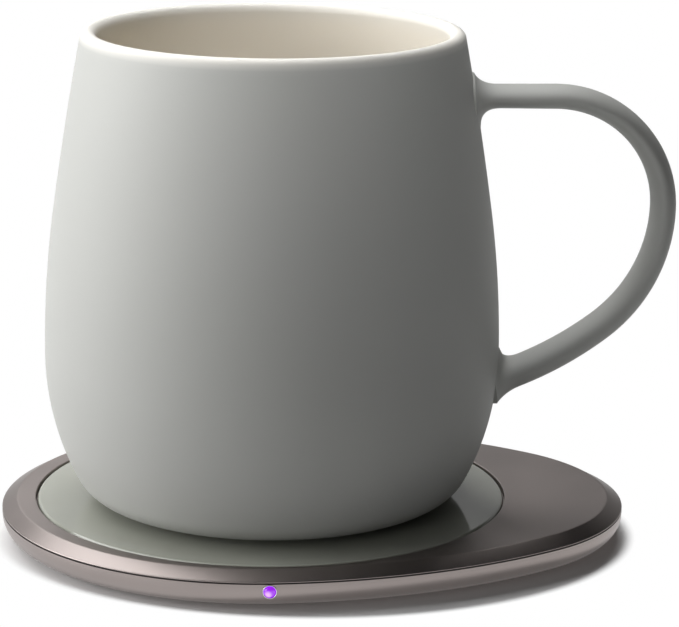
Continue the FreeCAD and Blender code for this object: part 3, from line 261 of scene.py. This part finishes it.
# One look for each finish that the record names.
looks = {
    "bronze_metal": metalLook((0.31, 0.272, 0.26), (0.35, 0.308, 0.294), 0.36, 0.42, bump=0.3),
    # seal_rubber is near black: the rubber's own colour, and also painted shade for the split line between
    # cover and case.
    "seal_rubber": plainLook((0.012, 0.012, 0.012), (0.02, 0.02, 0.02), 0.6, 0.75),
    "foot_silicone": plainLook((0.03, 0.03, 0.03), (0.045, 0.045, 0.045), 0.6, 0.75),
    "ring_metal": metalLook((0.70, 0.66, 0.68), (0.80, 0.76, 0.78), 0.15, 0.22),
    "steel": metalLook((0.55, 0.55, 0.56), (0.66, 0.66, 0.67), 0.25, 0.4),
    "copper": metalLook((0.62, 0.24, 0.11), (0.75, 0.34, 0.17), 0.25, 0.4, fineScale=900.0),
    "ferrite": plainLook((0.035, 0.035, 0.04), (0.06, 0.06, 0.065), 0.5, 0.7),
    "shield_metal": metalLook((0.60, 0.60, 0.61), (0.72, 0.72, 0.73), 0.3, 0.45),
    "black_plastic": plainLook((0.018, 0.018, 0.018), (0.03, 0.03, 0.03), 0.35, 0.5),
    "board_laminate": plainLook((0.012, 0.085, 0.04), (0.02, 0.12, 0.055), 0.3, 0.45),
    "mica": plainLook((0.55, 0.52, 0.42), (0.68, 0.65, 0.55), 0.45, 0.6),
    "heating_film": metalLook((0.30, 0.30, 0.31), (0.38, 0.38, 0.39), 0.4, 0.55),
    "stoneware": plainLook((0.43, 0.434, 0.414), (0.465, 0.469, 0.449), 0.55, 0.68, bump=0.1,
                           fineScale=2500.0, cloudScale=25.0),
    "disc_glass": plainLook((0.39, 0.40, 0.345), (0.43, 0.44, 0.385), 0.06, 0.10, bump=0.02,
                            **{"Coat Weight": 0.6, "Coat Roughness": 0.04}),
    "clear_lens": plainLook((0.10, 0.0, 0.33), (0.30, 0.01, 0.85), 0.05, 0.08, bump=0.0,
                            **{"Coat Weight": 1.0}),
}
finishes = {name: Finish(name, look) for name, look in looks.items()}
print("finishes made,", len(finishes))


# Stoneware: grey glaze outside, cream glaze on the lip and inside, where the mug's points are marked.

glaze = {"cream": (0.82, 0.775, 0.69), "creamLip": (0.76, 0.74, 0.69)}


def glazeStoneware(finish):
    inner = mixColours(finish.tree, finish.mark("inside"), glaze["creamLip"], glaze["cream"])
    colour = mixColours(finish.tree, finish.mark("creamGlaze"), finish.colour, inner)
    finish.link(colour, finish.shader.inputs["Base Color"])


glazeStoneware(finishes["stoneware"])


# Mug: a turned body and a swept handle that flows into it.

mug = {
    "fuller": 0.73, "settle": (-0.69, 0.0),  # wider than the CAD's belly, and its axis moved, as photographed
    "waist": 30.55, "sideEnd": 60.0, "bellyEnd": 10.81, "lowerEnd": 5.41,  # heights above the foot
    "sideCurve": 212.1, "upperCurve": 748.7, "bellyCurve": 55.31, "lowerCurve": 51.12,  # radii of the arcs
    "wall": 3.2, "floor": 3.6, "lip": 1.5,
    "footHeight": 0.8, "footRadius": 29.4, "footWidth": 1.8, "footEdge": 0.3,
    "arcPoints": (18, 26, 18, 24, 36, 14), "columns": 224,
    "floorRings": (0.75, 0.5, 0.25),  # shares of the inner floor's radius
    "creamEnd": 0.9, "greyStart": 3.4,  # along the glaze, down from the top of the lip
    "insideStart": 0.5, "insideEnd": 6.0,  # the same way, down the inside
}
mugBoxLow, mugBoxHigh = (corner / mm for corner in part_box("mug"))
mugReach = (mugBoxHigh.y - mugBoxLow.y) / 2
mug["radius"] = mugReach + mug["fuller"]
mug["axis"] = (mugBoxLow.x + mugReach + mug["settle"][0], (mugBoxHigh.y + mugBoxLow.y) / 2 + mug["settle"][1])
mug["low"], mug["rim"] = mugBoxLow.z, mugBoxHigh.z


def mugSide(inset, bottom):
    # From the level bottom up to the top of the lip: five arcs that touch, and half of the round lip.
    # The inset moves the middle arcs inwards; the lip's centre lies inside the wall either way.
    waist = mug["low"] + mug["waist"]
    upper, side, belly, lower = (mug[name] - inset
                                 for name in ("upperCurve", "sideCurve", "bellyCurve", "lowerCurve"))
    fall = math.asin((mug["waist"] - mug["bellyEnd"]) / mug["bellyCurve"])
    bellyCentre = (mug["radius"] - mug["bellyCurve"], waist)
    reach = mug["bellyCurve"] - mug["lowerCurve"]
    lowerCentre = (bellyCentre[0] + reach * math.cos(fall), bellyCentre[1] - reach * math.sin(fall))
    bend = math.asin((lowerCentre[1] - mug["low"] - mug["lowerEnd"]) / mug["lowerCurve"])
    last = (lowerCentre[1] - lower * math.sin(bend) - bottom) / (1 - math.sin(bend))
    lastCentre = (lowerCentre[0] + (lower - last) * math.cos(bend), bottom + last)
    lipReach = upper + (mug["lip"] if inset else -mug["lip"])
    turn = math.asin((mug["sideEnd"] - mug["waist"]) / mug["sideCurve"])
    sideCentre = (mug["radius"] - mug["sideCurve"], waist)
    back = mug["sideCurve"] - mug["upperCurve"]
    upperCentre = (sideCentre[0] + back * math.cos(turn), sideCentre[1] + back * math.sin(turn))
    rise = math.asin((mug["rim"] - mug["lip"] - upperCentre[1]) / lipReach)
    lipCentre = (upperCentre[0] + lipReach * math.cos(rise), mug["rim"] - mug["lip"])
    lipStart = math.pi + rise if inset else rise
    arcs = [(lastCentre, last, -math.pi / 2, -bend), (lowerCentre, lower, -bend, -fall),
            (bellyCentre, belly, -fall, 0), (sideCentre, side, 0, turn), (upperCentre, upper, turn, rise),
            (lipCentre, mug["lip"], lipStart, math.pi / 2)]
    rows = [arc(*centre, radius, start, end, count)
            for (centre, radius, start, end), count in zip(arcs, mug["arcPoints"])]
    return np.concatenate([rows[0]] + [row[1:] for row in rows[1:]])


def mugProfile():
    # Underside, foot ring, outside, lip, inside and inner floor, with how far each point is past the lip.
    ringTop = mug["low"] + mug["footHeight"]
    foot, edge = mug["footRadius"], mug["footEdge"]
    recess = foot - mug["footWidth"]
    under = np.array([(recess / 2, ringTop), (recess, ringTop), (recess, mug["low"]),
                      (foot - edge, mug["low"]), (foot, mug["low"] + edge), (foot, ringTop)])
    outside = mugSide(0.0, ringTop)
    inside = mugSide(mug["wall"], ringTop + mug["floor"])[::-1]
    floor = np.array([(inside[-1, 0] * part, inside[-1, 1]) for part in mug["floorRings"]])
    profile = np.concatenate([under, outside, inside, floor])
    step = np.hypot(*np.diff(profile, axis=0, prepend=profile[:1]).T)
    along = np.cumsum(step)
    along -= along[len(under) + len(outside) - 1]
    return profile, along, outside


handle = {
    "top": 82.5, "start": 38.9, "bendCentre": 56.2, "bend": 22.0,
    "sweep": 31.5, "sweepAngle": 52.0, "tail": 30.0, "tailCurve": 70.0, "tailAngle": 15.0,
    "thickness": 4.5, "width": 11.0, "thicknessLow": 5.7, "widthLow": 12.4,
    "rootBlend": 4.6, "sink": 1.2,  # the ends go this deep into the wall
    "rows": 170, "columns": 96, "rootHalvings": 40, "blendHalvings": 30, "tolerance": 1e-6,
}


def handlePath(travel):
    # Where the handle's middle is after so much travel, and the direction of its outer side: a level run,
    # a quarter round, a longer sweep back, a wide bend and a straight end, each touching the one before.
    run = handle["bendCentre"] - handle["start"]
    bendLength = handle["bend"] * math.pi / 2
    sweepTurn = math.radians(handle["sweepAngle"])
    sweepLength = handle["sweep"] * sweepTurn
    top = mug["low"] + handle["top"]
    middle = top - handle["bend"]
    sweepCentre = handle["bendCentre"] + handle["bend"] - handle["sweep"]
    inBend = np.clip((travel - run) / handle["bend"], 0, math.pi / 2)
    inSweep = np.clip((travel - run - bendLength) / handle["sweep"], 0, sweepTurn)
    inTail = np.maximum(travel - run - bendLength - sweepLength, 0)
    outer = math.pi / 2 - inBend - inSweep
    bent = np.minimum(inTail, handle["tailCurve"] * math.radians(handle["tailAngle"]))
    last = outer - bent / handle["tailCurve"]
    swept = travel > run + bendLength
    beforeSweep = np.minimum(handle["start"] + travel, handle["bendCentre"]) + handle["bend"] * np.cos(outer)
    across = np.where(swept, sweepCentre + handle["sweep"] * np.cos(outer), beforeSweep)
    height = middle + np.where(swept, handle["sweep"], handle["bend"]) * np.sin(outer)
    across += handle["tailCurve"] * (np.cos(last) - np.cos(outer)) + (inTail - bent) * np.sin(last)
    height += handle["tailCurve"] * (np.sin(last) - np.sin(outer)) - (inTail - bent) * np.cos(last)
    return across, height, last


def makeHandle(outside):
    # An oval carried along the path, p = path + a cos t N + b sin t Y. Near the mug each point moves out
    # along the oval's normal until the smooth union of body and oval passes through it.
    wallRadius, wallHeight = outside[:, 0], outside[:, 1]
    length = (handle["bendCentre"] - handle["start"] + handle["bend"] * math.pi / 2
              + handle["sweep"] * math.radians(handle["sweepAngle"]) + handle["tail"])
    turn = np.linspace(0, 2 * np.pi, handle["columns"], endpoint=False)

    def surface(travel, lift=0.0):
        across, height, outer = handlePath(travel)
        part = np.clip(travel / length, 0, 1)
        a = (handle["thickness"] + (handle["thicknessLow"] - handle["thickness"]) * part) / 2
        b = (handle["width"] + (handle["widthLow"] - handle["width"]) * part) / 2
        normalUp, normalSide = np.cos(turn) / a, np.sin(turn) / b
        size = np.hypot(normalUp, normalSide)
        up = a * np.cos(turn) + lift * normalUp / size
        side = b * np.sin(turn) + lift * normalSide / size
        return np.stack([across + up * np.cos(outer), side, height + up * np.sin(outer)], axis=-1)

    def fromWall(points):
        radius = np.hypot(points[..., 0], points[..., 1])
        return radius - np.interp(points[..., 2], wallHeight, wallRadius)

    def meets(inWall, inAir):
        # The travel at which each line of the oval leaves the wall, by halving.
        low, high = np.full(len(turn), inWall), np.full(len(turn), inAir)
        for _ in range(handle["rootHalvings"]):
            middle = (low + high) / 2
            buried = fromWall(surface(middle)) < 0
            low, high = np.where(buried, middle, low), np.where(buried, high, middle)
        return high

    firstClear, lastClear = length / 3, length * 0.7  # here all of the handle is in the air
    start = meets(0.0, firstClear)
    end = meets(length, lastClear)
    spread = (1 - np.cos(np.linspace(0, math.pi, handle["rows"]))) / 2
    travel = start + (end - start) * spread[:, None]
    blend = handle["rootBlend"]
    low, high = np.zeros_like(travel), np.full_like(travel, blend)
    for _ in range(handle["blendHalvings"]):
        lift = (low + high) / 2
        gap = fromWall(surface(travel, lift))
        union = np.minimum(gap, lift) - np.maximum(blend - np.abs(gap - lift), 0) ** 2 / (4 * blend)
        short = union < -handle["tolerance"]
        low, high = np.where(short, lift, low), np.where(short, high, lift)
    rings = surface(travel, high)
    sunk = rings[[0, -1]] - np.array([handle["sink"], 0, 0])
    rings = np.concatenate([sunk[:1], rings, sunk[1:]])
    rings[..., 0] += mug["axis"][0]
    rings[..., 1] += mug["axis"][1]
    return closedShell(rings, rings[0].mean(axis=0), rings[-1].mean(axis=0))


profile, pastLip, outside = mugProfile()
body = turned(profile, mug["columns"], mug["axis"])
bottomPole = (*mug["axis"], profile[0, 1])
innerPole = (*mug["axis"], profile[-1, 1])
bodyShell = closedShell(body, bottomPole, innerPole)
handleShell = makeHandle(outside)
creamRow = 1 - softStep(-pastLip, mug["creamEnd"], mug["greyStart"])
insideRow = softStep(pastLip, mug["insideStart"], mug["insideEnd"])
rowMarks = {"creamGlaze": creamRow, "inside": insideRow}
handleZeros = np.zeros(len(handleShell[0]))
marks = {name: np.concatenate([np.repeat(row, mug["columns"]), [row[0], row[-1]], handleZeros])
         for name, row in rowMarks.items()}
mugPiece = makePiece("stonewareMug", [bodyShell, handleShell], "mug", "mug", "stoneware", marks=marks)
print("mug made,", len(mugPiece.data.polygons), "faces")


# Disc: flat glass with a rounded upper edge.

disc = {"edge": 0.75, "edgePoints": 12, "rings": (0.3, 0.6, 0.9), "columns": 256}
discLow, discHigh = (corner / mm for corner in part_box("top_disc"))
discRadius = discHigh.x
discEdge = arc(discRadius - disc["edge"], discHigh.z - disc["edge"], disc["edge"], math.pi / 2, 0,
               disc["edgePoints"])
discProfile = np.concatenate([
    [(discRadius * part, discHigh.z) for part in disc["rings"]],
    discEdge,
    [(discRadius, discLow.z), (discRadius / 2, discLow.z)]])
discShell = closedShell(turned(discProfile, disc["columns"]), (0, 0, discHigh.z), (0, 0, discLow.z))
makePiece("glassDisc", [discShell], "pad", "top_disc", "disc_glass")
print("disc made")


# Pad outline: two round ends and two long flanks, all touching.

pad = {"heel": 52.2, "heelBack": 2.5, "nose": 39.0, "noseAhead": 33.0, "flank": 102.0, "columns": 420}


def padOutline(columns):
    # The arcs share their normals, so a point is centre + (radius - inset) * normal. Columns are shared out
    # by the arcs' lengths.
    heelReach, noseReach = pad["flank"] - pad["heel"], pad["flank"] - pad["nose"]
    apart = pad["heelBack"] + pad["noseAhead"]
    ahead = (heelReach ** 2 - noseReach ** 2 + apart ** 2) / (2 * apart)
    aside = math.sqrt(heelReach ** 2 - ahead ** 2)
    heelTurn, noseTurn = math.atan2(aside, -ahead), math.atan2(aside, apart - ahead)
    flankAhead = ahead - pad["heelBack"]
    arcs = [(pad["noseAhead"], 0, pad["nose"], -noseTurn, noseTurn),
            (flankAhead, -aside, pad["flank"], noseTurn, heelTurn),
            (-pad["heelBack"], 0, pad["heel"], heelTurn, 2 * math.pi - heelTurn),
            (flankAhead, aside, pad["flank"], -heelTurn, -noseTurn)]
    lengths = np.array([radius * (end - start) for _, _, radius, start, end in arcs])
    counts = np.round(columns * lengths / lengths.sum()).astype(int)
    rows = [np.stack([np.full(count, x), np.full(count, y), np.full(count, radius),
                      np.linspace(start, end, count, endpoint=False)])
            for (x, y, radius, start, end), count in zip(arcs, counts)]
    x, y, radius, normal = np.concatenate(rows, axis=1)
    return np.stack([x, y], axis=-1), radius, np.stack([np.cos(normal), np.sin(normal)], axis=-1)


outlineCentre, outlineRadius, outlineNormal = padOutline(pad["columns"])


def outlineAt(inset):
    return outlineCentre + (outlineRadius - inset)[:, None] * outlineNormal


def roundCorners(corners, steps=5):
    # Each corner (share, out, up, radius) becomes a short curve between its neighbours' directions.
    points = np.array([corner[:3] for corner in corners], float)
    radii = np.array([corner[3] for corner in corners], float)
    before, after = np.roll(points, 1, axis=0), np.roll(points, -1, axis=0)
    result = []
    for point, low, high, radius in zip(points, before, after, radii):
        if radius == 0:
            result.append(point[None])
            continue
        back, ahead = low - point, high - point
        back, ahead = back / np.linalg.norm(back[1:]), ahead / np.linalg.norm(ahead[1:])
        back[0] = ahead[0] = 0
        part = np.linspace(0, 1, steps)[:, None]
        result.append(point + radius * (back * (1 - part) ** 2 + ahead * part ** 2))
    return np.concatenate(result)


# Cover: flat top round the disc, long bevel, short edge, and its hollow underside.

cover = {"seatGap": 0.3, "bevelWidth": 3.0, "bevelHeight": 1.65, "ledge": 4.2, "ledgeThickness": 1.0,
         "ledgeWall": 1.2, "tongueInset": 1.8, "tongueWidth": 1.2, "skin": 1.2, "tapeThickness": 0.1,
         "thickness": 1.85, "tongueDepth": 1.2, "edgeSoft": 0.22, "seatSoft": 0.12, "lowSoft": 0.05,
         "flatRing": 0.6, "sharpAngle": 24}


def makeCover():
    # The corners are (share, out, up, softness). With share 0 a point lies on a circle of the seat's
    # radius + out, with share 1 on the pad's outline at the bevel's inner edge + out.
    top = discHigh.z
    seat = discRadius + cover["seatGap"]
    ledgeTop = discLow.z - cover["tapeThickness"]
    ledgeLow = ledgeTop - cover["ledgeThickness"]
    low = top - cover["thickness"]
    hollowTop = top - cover["skin"]
    tongueLow = low - cover["tongueDepth"]
    tongueOut = cover["bevelWidth"] - cover["tongueInset"]
    tongueIn = tongueOut - cover["tongueWidth"]
    soft, seatSoft, bevel = cover["edgeSoft"], cover["seatSoft"], cover["bevelWidth"]
    flat, ledgeIn = cover["flatRing"], -cover["ledge"] - cover["seatGap"]
    corners = [
        (0, 0.0, ledgeTop, 0), (0, 0.0, top, seatSoft), (0, flat, top, 0), (1, -flat, top, 0),
        (1, 0.0, top, soft), (1, bevel, top - cover["bevelHeight"], soft / 2),
        (1, bevel, low, cover["lowSoft"]),
        (1, tongueOut, low, 0), (1, tongueOut, tongueLow, 0), (1, tongueIn, tongueLow, 0),
        (1, tongueIn, hollowTop, 0), (0, cover["ledgeWall"], hollowTop, 0),
        (0, cover["ledgeWall"], ledgeLow, 0), (0, ledgeIn, ledgeLow, 0), (0, ledgeIn, ledgeTop, 0)]
    profile = roundCorners(corners)
    share, out, up = profile[:, 0], profile[:, 1], profile[:, 2]
    facing = outlineAt(cover["bevelWidth"])
    facing = facing / np.linalg.norm(facing, axis=-1, keepdims=True)
    circle = facing * (seat + out)[:, None, None]
    egg = outlineCentre + (outlineRadius + (out - bevel)[:, None])[..., None] * outlineNormal
    level = circle * (1 - share)[:, None, None] + egg * share[:, None, None]
    height = np.broadcast_to(up[:, None, None], level.shape[:2] + (1,))
    return closedShell(np.concatenate([level, height], axis=-1))


makePiece("bronzeCover", [makeCover()], "pad", "upper_cover", "bronze_metal", sharpAngle=cover["sharpAngle"])
print("cover made")


# Status light: a violet lens that bulges from the band, in a thin bright ring.

light = {"radius": 1.15, "dome": 0.55, "domePoints": 16, "flange": 1.68, "flangeDepth": 0.45,
         "ringOuter": 1.38, "ringProud": 0.06, "ringGap": 0.05, "ringPoints": 9, "columns": 64}
# The violet glow is the status light's own; the pale spot in it is a painted reflection on the lens.
glowing = {"colour": (0.36, 0.02, 0.86), "pale": (0.95, 0.55, 0.98), "strength": 0.85,
           "aside": -0.35, "up": -0.55, "core": 0.2, "reach": 1.05}  # the pale spot, from the lens's centre
lensLow, lensHigh = (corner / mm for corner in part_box("status_lens"))
ringLow, ringHigh = (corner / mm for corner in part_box("light_ring"))
lightUp = (ringLow.z + ringHigh.z) / 2


def turnedToFront(profile, columns):
    # The profile (radius, distance in front) turned about the level axis of the light.
    turn = np.linspace(0, 2 * np.pi, columns, endpoint=False)
    radius, front = profile[:, :1], profile[:, 1:]
    return np.stack([radius * np.cos(turn), -front + np.zeros((1, columns)), lightUp + radius * np.sin(turn)],
                    axis=-1)


lensFront, lensBack = -lensLow.y, -lensHigh.y
# The dome is a quarter round of radius 1, widened to the lens and flattened to its height.
dome = arc(0, lensFront - light["dome"], 1, 0, math.pi / 2, light["domePoints"])[:-1]
lensProfile = np.concatenate([
    [(light["flange"] / 2, lensBack), (light["flange"], lensBack),
     (light["flange"], lensBack + light["flangeDepth"]), (light["radius"], lensBack + light["flangeDepth"])],
    dome * (light["radius"], light["dome"]) + (0, (lensFront - light["dome"]) * (1 - light["dome"]))])
lensShell = closedShell(turnedToFront(lensProfile, light["columns"]), (0, lensHigh.y, lightUp),
                        (0, -lensFront, lightUp))


def makeGlowAndPaintedReflection(finish):
    # Violet glow of the status light, with a painted reflection: a pale spot low and to the left.
    centred = finish.add("ShaderNodeMapping")
    centred.inputs["Location"].default_value = (-glowing["aside"] * mm, lensFront * mm,
                                                -(lightUp + glowing["up"]) * mm)
    away = finish.add("ShaderNodeVectorMath")
    away.operation = "LENGTH"
    finish.link(finish.place, centred.inputs["Vector"])
    finish.link(centred.outputs["Vector"], away.inputs[0])
    fade = softFade(finish.tree, away.outputs["Value"], glowing["reach"] * mm, glowing["core"] * mm)
    colour = mixColours(finish.tree, fade, glowing["colour"], glowing["pale"])
    finish.link(colour, finish.shader.inputs["Emission Color"])
    finish.shader.inputs["Emission Strength"].default_value = glowing["strength"]


makeGlowAndPaintedReflection(finishes["clear_lens"])
makePiece("violetLens", [lensShell], "pad", "status_lens", "clear_lens")
ringFront = -ringLow.y + light["ringProud"]
ringWall = light["ringOuter"] - light["radius"] - light["ringGap"]
ringMiddle = light["ringOuter"] - ringWall / 2
ringProfile = np.concatenate([
    arc(ringMiddle, ringFront - ringWall / 2, ringWall / 2, 0, math.pi, light["ringPoints"]),
    [(ringMiddle - ringWall / 2, -ringHigh.y), (ringMiddle + ringWall / 2, -ringHigh.y)]])
ringShell = closedShell(turnedToFront(ringProfile, light["columns"]))
makePiece("lightRing", [ringShell], "pad", "light_ring", "ring_metal")
print("status light made")


# Every CAD node that is still shown takes the finish that the record gives it.

slotOf = {item["node"]: item["material_slot"] for item in frame["record"]["subparts"]}
for name, node in nodes.items():
    if not node.hide_render:
        node.data.materials.clear()
        node.data.materials.append(finishes[slotOf[name]].material)
print("CAD nodes finished")


# Stage: a pale floor that fades to white away from the pad, and a wall far behind it for reflections.

stage = {"floorSize": 8.0, "floorColour": (0.86, 0.86, 0.86), "bounceColour": (0.46, 0.46, 0.46),
         "fadeStart": 1.0, "fadeEnd": 1.05,  # times the pad's own reach
         "mirroredWhite": 0.27,  # how white the floor near the pad is in reflections
         "wallPlace": 3.0, "wallHeight": 1.7, "wallLeft": 0.50, "wallRight": 0.27,
         "wallFadeStart": -0.8, "wallFadeEnd": 0.6}
padLow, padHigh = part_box("upper_cover")


def makeSheet(name, corners):
    # One face of the stage with an empty material; gives the material's node tree.
    mesh = bpy.data.meshes.new(name)
    mesh.from_pydata(corners, [], [(0, 1, 2, 3)])
    material = bpy.data.materials.new(name + "Paint")
    material.use_nodes = True
    material.node_tree.nodes.clear()
    mesh.materials.append(material)
    sheet = bpy.data.objects.new(name, mesh)
    bpy.context.scene.collection.objects.link(sheet)
    return material.node_tree


def makeFloor():
    # Matte and in shadow next to the pad, white further out. Light that it throws back on the pad is less.
    half = stage["floorSize"] / 2
    tree = makeSheet("floor", [(-half, -half, 0), (half, -half, 0), (half, half, 0), (-half, half, 0)])
    add, link = tree.nodes.new, tree.links.new
    around = add("ShaderNodeMapping")
    around.vector_type = "TEXTURE"
    around.inputs["Location"].default_value = ((padLow.x + padHigh.x) / 2, 0, 0)
    around.inputs["Scale"].default_value = ((padHigh.x - padLow.x) / 2, (padHigh.y - padLow.y) / 2, 1)
    distance = add("ShaderNodeVectorMath")
    distance.operation = "LENGTH"
    link(add("ShaderNodeTexCoord").outputs["Object"], around.inputs["Vector"])
    link(around.outputs["Vector"], distance.inputs[0])
    fade = softFade(tree, distance.outputs["Value"], stage["fadeStart"], stage["fadeEnd"])
    rays = add("ShaderNodeLightPath").outputs
    direct = calculate(tree, "ADD", rays["Is Camera Ray"], rays["Is Glossy Ray"], clamp=True)
    seen = calculate(tree, "ADD", direct, rays["Is Transmission Ray"], clamp=True)
    white = calculate(tree, "MULTIPLY", seen, fade)
    white = calculate(tree, "MULTIPLY_ADD", rays["Is Glossy Ray"], stage["mirroredWhite"], white, clamp=True)
    matte = add("ShaderNodeBsdfDiffuse")
    glow = add("ShaderNodeEmission")
    mix = add("ShaderNodeMixShader")
    link(mixColours(tree, seen, stage["bounceColour"], stage["floorColour"]), matte.inputs["Color"])
    link(white, mix.inputs["Fac"])
    link(matte.outputs[0], mix.inputs[1])
    link(glow.outputs[0], mix.inputs[2])
    link(mix.outputs[0], add("ShaderNodeOutputMaterial").inputs["Surface"])


def makeBackdrop():
    # Lighter at the left; only reflections and the camera see its glow.
    half, place, height = stage["floorSize"] / 2, stage["wallPlace"], stage["wallHeight"]
    corners = [(-half, place, 0), (half, place, 0), (half, place, height), (-half, place, height)]
    tree = makeSheet("backdrop", corners)
    add, link = tree.nodes.new, tree.links.new
    parts = add("ShaderNodeSeparateXYZ")
    link(add("ShaderNodeTexCoord").outputs["Object"], parts.inputs["Vector"])
    level = softFade(tree, parts.outputs["X"], stage["wallFadeStart"], stage["wallFadeEnd"],
                     stage["wallLeft"], stage["wallRight"])
    rays = add("ShaderNodeLightPath").outputs
    seen = calculate(tree, "MAXIMUM", rays["Is Camera Ray"], rays["Is Glossy Ray"])
    glow = add("ShaderNodeEmission")
    link(calculate(tree, "MULTIPLY", seen, level), glow.inputs["Strength"])
    link(glow.outputs[0], add("ShaderNodeOutputMaterial").inputs["Surface"])


# Lamps: places and sizes in metres, power in watts. The mouth lamp is a narrow one into the mug.

lamps = {
    "keyLamp": dict(place=(-1.05, 0.02, 0.20), target=(0, 0, 0.04), size=(0.9, 0.8), power=13.2),
    "frontLamp": dict(place=(-0.82, -0.86, 0.16), target=(0, 0, 0.05), size=(0.6, 0.6), power=2.9),
    "backLamp": dict(place=(-0.35, 0.38, 0.88), target=(0, 0, 0.0), size=(1.3, 0.9), power=10.8),
    "topLamp": dict(place=(0.10, 0.50, 1.0), target=(0, 0, 0.06), size=(0.5, 0.5), power=1.9, mirrored=False),
}
mouthLamp = {"place": (-0.20, -0.66, 1.02), "target": (0, 0.004, 0.100), "angle": 3.2, "blend": 0.6,
             "size": 0.05, "power": 84.0}


def aimLamp(data, place, target, mirrored):
    lamp = bpy.data.objects.new(data.name, data)
    direction = Vector(target) - Vector(place)
    lamp.matrix_world = Matrix.Translation(place) @ direction.to_track_quat("-Z", "Y").to_matrix().to_4x4()
    lamp.visible_glossy = mirrored
    bpy.context.scene.collection.objects.link(lamp)


def makeLamp(name, place, target, size, power, mirrored=True):
    data = bpy.data.lights.new(name, "AREA")
    data.shape = "RECTANGLE"
    data.size, data.size_y = size
    data.energy = power
    aimLamp(data, place, target, mirrored)


def makeMouthLamp():
    data = bpy.data.lights.new("mouthLamp", "SPOT")
    data.spot_size, data.spot_blend = math.radians(mouthLamp["angle"]), mouthLamp["blend"]
    data.shadow_soft_size = mouthLamp["size"]
    data.energy = mouthLamp["power"]
    aimLamp(data, mouthLamp["place"], mouthLamp["target"], mirrored=False)


studio = {"fill": 0.05, "sheen": 0.02}


def makeWorld():
    # Dim light from all round, dimmer in reflections. Where the camera looks past everything it sees white.
    world = bpy.data.worlds.new("studio")
    world.use_nodes = True
    bpy.context.scene.world = world
    tree = world.node_tree
    background = tree.nodes["Background"]
    background.inputs["Color"].default_value = (1, 1, 1, 1)
    rays = tree.nodes.new("ShaderNodeLightPath").outputs
    mirrored = tree.nodes.new("ShaderNodeMapRange")
    mirrored.inputs["To Min"].default_value = studio["fill"]
    mirrored.inputs["To Max"].default_value = studio["sheen"]
    tree.links.new(rays["Is Glossy Ray"], mirrored.inputs["Value"])
    seen = calculate(tree, "MAXIMUM", rays["Is Camera Ray"], rays["Is Transmission Ray"])
    strength = calculate(tree, "MAXIMUM", seen, mirrored.outputs["Result"])
    tree.links.new(strength, background.inputs["Strength"])


makeFloor()
makeBackdrop()
for name, lamp in lamps.items():
    makeLamp(name, **lamp)
makeMouthLamp()
makeWorld()
print("stage made")


# Camera: where the photograph was taken from.

view = {"place": (0.00096, -0.59283, 0.19340), "yaw": 0.0217, "pitch": 0.2439, "roll": 0.0088,
        "focal": 3022.7, "imageWidth": 679,  # both in pixels
        "sensor": 36.0, "near": 0.05, "far": 20}


def makeCamera():
    yaw, pitch, roll = view["yaw"], view["pitch"], view["roll"]
    ahead = Vector((math.sin(yaw) * math.cos(pitch), math.cos(yaw) * math.cos(pitch), -math.sin(pitch)))
    right = Vector((math.cos(yaw), -math.sin(yaw), 0))
    up = right.cross(ahead)
    tiltedRight = right * math.cos(roll) + up * math.sin(roll)
    tiltedUp = up * math.cos(roll) - right * math.sin(roll)
    data = bpy.data.cameras.new("camera")
    data.sensor_width = view["sensor"]
    data.lens = view["focal"] * view["sensor"] / view["imageWidth"]
    data.clip_start, data.clip_end = view["near"], view["far"]
    camera = bpy.data.objects.new("camera", data)
    camera.matrix_world = Matrix((
        (tiltedRight.x, tiltedUp.x, -ahead.x, view["place"][0]),
        (tiltedRight.y, tiltedUp.y, -ahead.y, view["place"][1]),
        (tiltedRight.z, tiltedUp.z, -ahead.z, view["place"][2]),
        (0, 0, 0, 1)))
    bpy.context.scene.collection.objects.link(camera)
    bpy.context.scene.camera = camera


makeCamera()
print("camera placed")
bpy.context.scene.view_settings.view_transform = "Standard"
